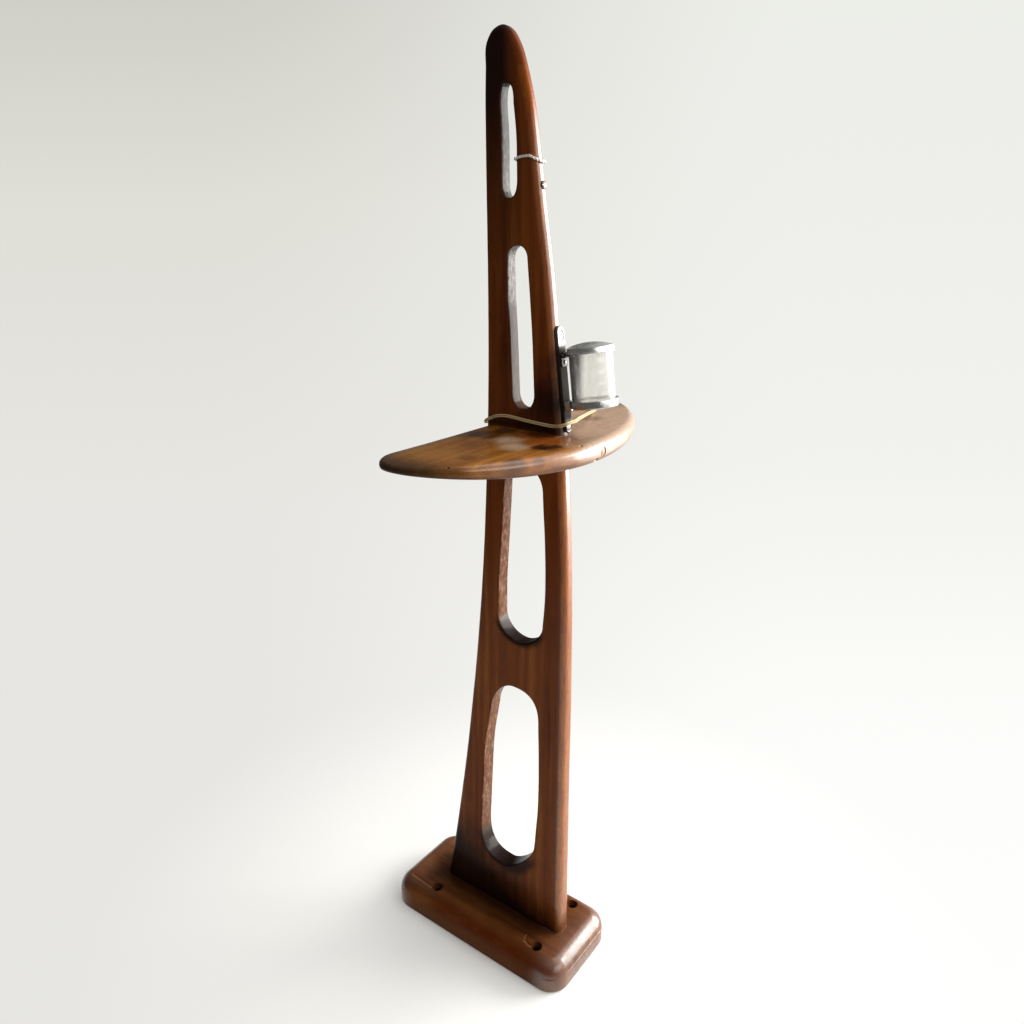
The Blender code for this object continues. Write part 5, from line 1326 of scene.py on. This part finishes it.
# ------------------------------------------------------------ cord and thread
def strand(path, radius, offset, lay, plies, pitch, bulge, sides, start):
    """Closed yarn that follows a path (mm) at a winding offset; its own plies stand out as ridges.
    Returns (vertices, faces, ridge values for the painted ply shading)."""
    n = len(path)
    tang = [(path[(i + 1) % n] - path[i - 1]).normalized() for i in range(n)]
    ref = Vector((0, 0, 1))
    nrm = []
    cur = (ref - tang[0] * ref.dot(tang[0])).normalized()
    for i in range(n):
        cur = (cur - tang[i] * cur.dot(tang[i])).normalized()
        nrm.append(cur.copy())
    end = (cur - tang[0] * cur.dot(tang[0])).normalized()
    miss = math.atan2(nrm[0].cross(end).dot(tang[0]), nrm[0].dot(end))
    length = [0.0]
    for i in range(n):
        length.append(length[-1] + (path[(i + 1) % n] - path[i]).length)
    total = length[-1]
    turns = round(total / lay)
    twists = max(1, round(total / pitch))
    verts, faces, ply_shading = [], [], []
    for i in range(n):
        u = length[i] / total
        a = start + 2 * math.pi * turns * u - miss * u
        e1 = nrm[i]
        e2 = tang[i].cross(e1)
        c = path[i] + (e1 * math.cos(a) + e2 * math.sin(a)) * offset
        for k in range(sides):
            b = 2 * math.pi * k / sides
            ridge = abs(math.cos(plies / 2.0 * (b - 2 * math.pi * twists * u * 2 / plies)))
            r = radius * (1 - bulge + bulge * ridge)
            r *= 1 + 0.05 * noise.noise(Vector((u * 160, k * 0.9, start)))
            verts.append(c + (e1 * math.cos(b + a) + e2 * math.sin(b + a)) * r)
            ply_shading.append(ridge)
    for i in range(n):
        j = (i + 1) % n
        shift = 0
        if j == 0:
            shift = round((2 * math.pi * turns - miss) / (2 * math.pi) * sides + miss / (2 * math.pi) * sides) % sides
        for k in range(sides):
            m = (k + 1) % sides
            faces.append((i * sides + k, i * sides + m,
                          j * sides + (m + shift) % sides, j * sides + (k + shift) % sides))
    return verts, faces, ply_shading


def yarn_piece(name, strands, mat, slot, node, fray=()):
    V, F, P = [], [], []
    for v, f, p in strands:
        o = len(V)
        V += v
        F += [tuple(i + o for i in face) for face in f]
        P += p
    me = bpy.data.meshes.new(name)
    me.from_pydata([tuple(v * MM) for v in V], [], F)
    bm = bmesh.new()
    bm.from_mesh(me)
    bmesh.ops.recalc_face_normals(bm, faces=bm.faces)
    bm.to_mesh(me)
    bm.free()
    att = me.attributes.new("ply_shading", 'FLOAT', 'POINT')
    att.data.foreach_set("value", P)
    return show(name, me, mat, "stand", slot, node, angle=80)


def build_cord():
    cy = blade_t(598) / 2 + CORD_R + 0.5
    lz = SHELF_TOP + CORD_R + 0.4
    pts = ((-9.7, 0.0, 590.4), (-8.2, -6.6, 591.4), (-1.6, -cy, 595.4), (2.6, -cy, 597.2), (8.4, -cy, 599.3), (17, -cy, 600.6),
           (27, -cy, 600.3), (39, -cy, 599.2), (50.8, -cy, 598.5), (62.5, -cy, 597.9), (71, -cy, 597.9),
           (78, -cy + 0.3, 599.2), (82.3, -6.2, 600.7), (82.8, 0, 601.4), (82.3, 5.5, 601.0), (74.2, 27, 598.9),
           (66, 49, 596.5), (58, 70, 594), (51, 90, lz + 0.2), (46.5, 102, lz), (39, 103, lz), (31, 93, lz),
           (20, 64, lz), (6, 34, lz + 0.2), (-4, 15, 592.4), (-9.2, 7, 592.6))
    path = spline_through(pts, 24, closed=True)
    sides = 16
    yarn_piece("cord_tie", [strand(path, 0.74, 0.80, 2000.0, 3, 4.2, 0.12, sides, a) for a in (0.25, 0.25 + math.pi)],
               CORD_YARN, "cord", "tie_cord")

    ty = blade_t(815) / 2 + THREAD_R + 0.5
    tx = at(FRONT_EDGE, 813) + THREAD_R + 0.6
    sx = 27.6 - THREAD_R - 0.5
    pts = ((sx, -4.0, 814.8), (sx + 0.8, -ty + 0.8, 815.4), (sx + 4.0, -ty, 816.2), (36, -ty, 817.0),
           (43, -ty, 816.8), (tx - 3.6, -ty + 0.5, 815.4), (tx - 0.2, -3.6, 813.4),
           (tx + 0.1, 0.0, 812.7), (tx - 0.2, 3.6, 812.8), (tx - 3.6, ty - 0.5, 813.6), (41, ty, 814.6),
           (32, ty, 814.8), (sx + 0.8, ty - 0.8, 814.6), (sx, 4.0, 814.4))
    path = spline_through(pts, 26, closed=True)
    yarn_piece("thread_tie", [strand(path, 0.66, 0.50, 6.0, 3, 2.6, 0.12, 12, a) for a in (0.0, math.pi)],
               THREAD_YARN, "thread", "tag_thread")


build_plinth()
build_blade()
build_shelf()
build_metal()
build_cord()
for ob in list(WORK.objects):
    bpy.data.objects.remove(ob)

# ------------------------------------------------------------ floor and backdrop
def backdrop_tone(s):
    """Glowing backdrop tone with painted light that falls off gently towards the top left of the view."""
    w = s.node("ShaderNodeTexCoord").outputs["Window"]
    u, v, _ = s.xyz(w)
    left = s.ramp(v, [(0.0, (0.79, 0.785, 0.76)), (0.50, (0.80, 0.79, 0.76)), (0.80, (0.74, 0.735, 0.68)), (1.0, (0.63, 0.625, 0.575))], 'LINEAR')
    right = s.ramp(v, [(0.0, (1.0, 1.0, 0.985)), (0.30, (0.98, 0.98, 0.96)), (0.55, (0.885, 0.885, 0.855)), (1.0, (0.84, 0.85, 0.81))], 'LINEAR')
    return s.mix(s.span(u, 0.18, 0.80), left, right)


def floor_material():
    s = Shade("pale_sheet")
    p = s.coords()
    n = s.noise(p, 3.0, 4, 0.5)
    f = s.noise(p, 700.0, 4, 0.6)
    s.put(s.b.inputs["Base Color"], s.mix(n, (0.77, 0.765, 0.745), (0.80, 0.795, 0.775)))
    s.put(s.b.inputs["Roughness"], s.span(f, 0.3, 0.7, 0.65, 0.85))
    s.b.inputs["Specular IOR Level"].default_value = 0.2
    # painted light: away from the object the sheet glows and melts into the even backdrop, and near it the glow
    # lightens the shadows
    e = s.node("ShaderNodeEmission")
    s.put(e.inputs[0], backdrop_tone(s))
    mx = s.node("ShaderNodeMixShader")
    s.put(mx.inputs[0], s.span(s.vmath('LENGTH', p, out=1), -0.10, 0.56))
    s.t.links.new(s.b.outputs[0], mx.inputs[1])
    s.t.links.new(e.outputs[0], mx.inputs[2])
    s.t.links.new(mx.outputs[0], s.out.inputs[0])
    return s.m


SHEET = floor_material()


def disc(name, rings, steps=96):
    """Concentric sheet through the given radii and heights (m)."""
    bm = bmesh.new()
    prev = None
    for r, z in rings:
        ring = ([bm.verts.new((0, 0, z))] if r == 0 else
                [bm.verts.new((r * math.cos(2 * math.pi * k / steps), r * math.sin(2 * math.pi * k / steps), z))
                 for k in range(steps)])
        if prev:
            for k in range(steps):
                j = (k + 1) % steps
                if len(prev) == 1:
                    bm.faces.new((prev[0], ring[k], ring[j]))
                else:
                    bm.faces.new((prev[k], ring[k], ring[j], prev[j]))
        prev = ring
    me = bpy.data.meshes.new(name)
    bm.to_mesh(me)
    bm.free()
    me.materials.append(SHEET)
    me.shade_smooth()
    ob = bpy.data.objects.new(name, me)
    bpy.context.scene.collection.objects.link(ob)
    return ob


FLOOR_R = 1.0
disc("floor", [(0, 0), (0.3, 0), (0.6, 0), (FLOOR_R, 0)])
bowl = disc("backdrop", [(FLOOR_R, 0), (1.6, 0), (2.4, 0), (3.2, 0)] +
            [(3.2 + 2.6 * math.sin(math.pi / 2 * k / 16), 2.6 - 2.6 * math.cos(math.pi / 2 * k / 16)) for k in range(1, 17)] +
            [(5.8, 5.0)])
bowl.visible_diffuse = False
bowl.visible_glossy = False
bowl.visible_transmission = True
bowl.visible_shadow = False

# ------------------------------------------------------------ light
WALL, GLOW, WINDOW, SIDE, TOP = 0.75, 1.6, 15.0, 4.0, 0.35
world = bpy.data.worlds.new("soft_room")
bpy.context.scene.world = world
world.use_nodes = True
wt = world.node_tree
bg = wt.nodes["Background"]


def wnode(kind, **props):
    n = wt.nodes.new(kind)
    for k, v in props.items():
        setattr(n, k, v)
    return n


def wmath(op, a, b=None, c=None):
    n = wnode("ShaderNodeMath", operation=op)
    for i, v in enumerate((a, b, c)):
        if isinstance(v, bpy.types.NodeSocket):
            wt.links.new(v, n.inputs[i])
        elif v is not None:
            n.inputs[i].default_value = v
    return n.outputs[0]


def wspan(v, lo, hi, a, b):
    n = wnode("ShaderNodeMapRange", interpolation_type='SMOOTHSTEP')
    wt.links.new(v, n.inputs[0])
    for i, k in enumerate((lo, hi, a, b)):
        n.inputs[i + 1].default_value = k
    return n.outputs[0]


# a bright wall round the right and the back, darkness behind the camera's left shoulder
tc = wnode("ShaderNodeTexCoord")
sep = wnode("ShaderNodeSeparateXYZ")
wt.links.new(tc.outputs["Generated"], sep.inputs[0])
wx, wy, wz = sep.outputs
flat = wmath('SQRT', wmath('ADD', wmath('MULTIPLY', wx, wx), wmath('MULTIPLY', wy, wy)))
turn = wmath('DIVIDE', wmath('ADD', wmath('MULTIPLY', wx, math.cos(math.radians(52))), wmath('MULTIPLY', wy, math.sin(math.radians(52)))),
             wmath('MAXIMUM', flat, 0.01))
wall = wspan(turn, 0.30, 0.52, 0.13, WALL)
glow = wmath('MULTIPLY', wspan(turn, 0.72, 0.97, 0.0, GLOW), wspan(wz, -0.75, -0.10, 0.15, 1.0))
over = wspan(wz, 0.45, 1.0, 0.0, 0.5)
wt.links.new(wmath('ADD', wmath('ADD', wall, glow), over), bg.inputs["Strength"])
bg.inputs["Color"].default_value = (1.0, 0.99, 0.97, 1)


def area(name, pos, aim, w, h, radiance, color=(1, 1, 1), camera=False, glossy=True, spread=180):
    li = bpy.data.lights.new(name, 'AREA')
    li.shape = 'RECTANGLE'
    li.size, li.size_y = w, h
    li.energy = radiance * math.pi * w * h
    li.color = color
    li.spread = math.radians(spread)
    ob = bpy.data.objects.new(name, li)
    bpy.context.scene.collection.objects.link(ob)
    ob.location = pos
    d = Vector(aim) - Vector(pos)
    ob.rotation_mode = 'QUATERNION'
    ob.rotation_quaternion = d.to_track_quat('-Z', 'Y')
    ob.visible_camera = camera
    ob.visible_glossy = glossy
    return ob


area("window", (1.62, 2.03, 0.88), (0, 0, 0.5), 1.6, 2.15, WINDOW, (1.0, 0.985, 0.955))
area("side", (2.15, -0.30, 1.25), (0.05, 0, 0.5), 1.8, 1.0, SIDE, (1.0, 0.985, 0.95))
area("top", (0.3, 0.5, 2.6), (0, 0, 0.2), 2.0, 2.0, TOP, (1, 1, 1), glossy=False)

# ------------------------------------------------------------ camera
AZ, PITCH, ROLL = 36.4283, 19.0021, -0.1174
a, p, r = math.radians(AZ), math.radians(PITCH), math.radians(ROLL)
right = Vector((math.cos(a), math.sin(a), 0))
forward = Vector((-math.sin(a) * math.cos(p), math.cos(a) * math.cos(p), -math.sin(p)))
upv = Vector((-math.sin(a) * math.sin(p), math.cos(a) * math.sin(p), math.cos(p)))
r2 = right * math.cos(r) + upv * math.sin(r)
u2 = upv * math.cos(r) - right * math.sin(r)
cam_data = bpy.data.cameras.new("camera")
cam_data.sensor_width = 36.0
cam_data.lens = 806.096 * 36.0 / 1024.0
cam = bpy.data.objects.new("camera", cam_data)
bpy.context.scene.collection.objects.link(cam)
cam.matrix_world = Matrix((
    (r2.x, u2.x, -forward.x, 0.4518), (r2.y, u2.y, -forward.y, -0.58738),
    (r2.z, u2.z, -forward.z, 0.75677), (0, 0, 0, 1)))
bpy.context.scene.camera = cam
bpy.context.scene.view_settings.view_transform = 'Standard'
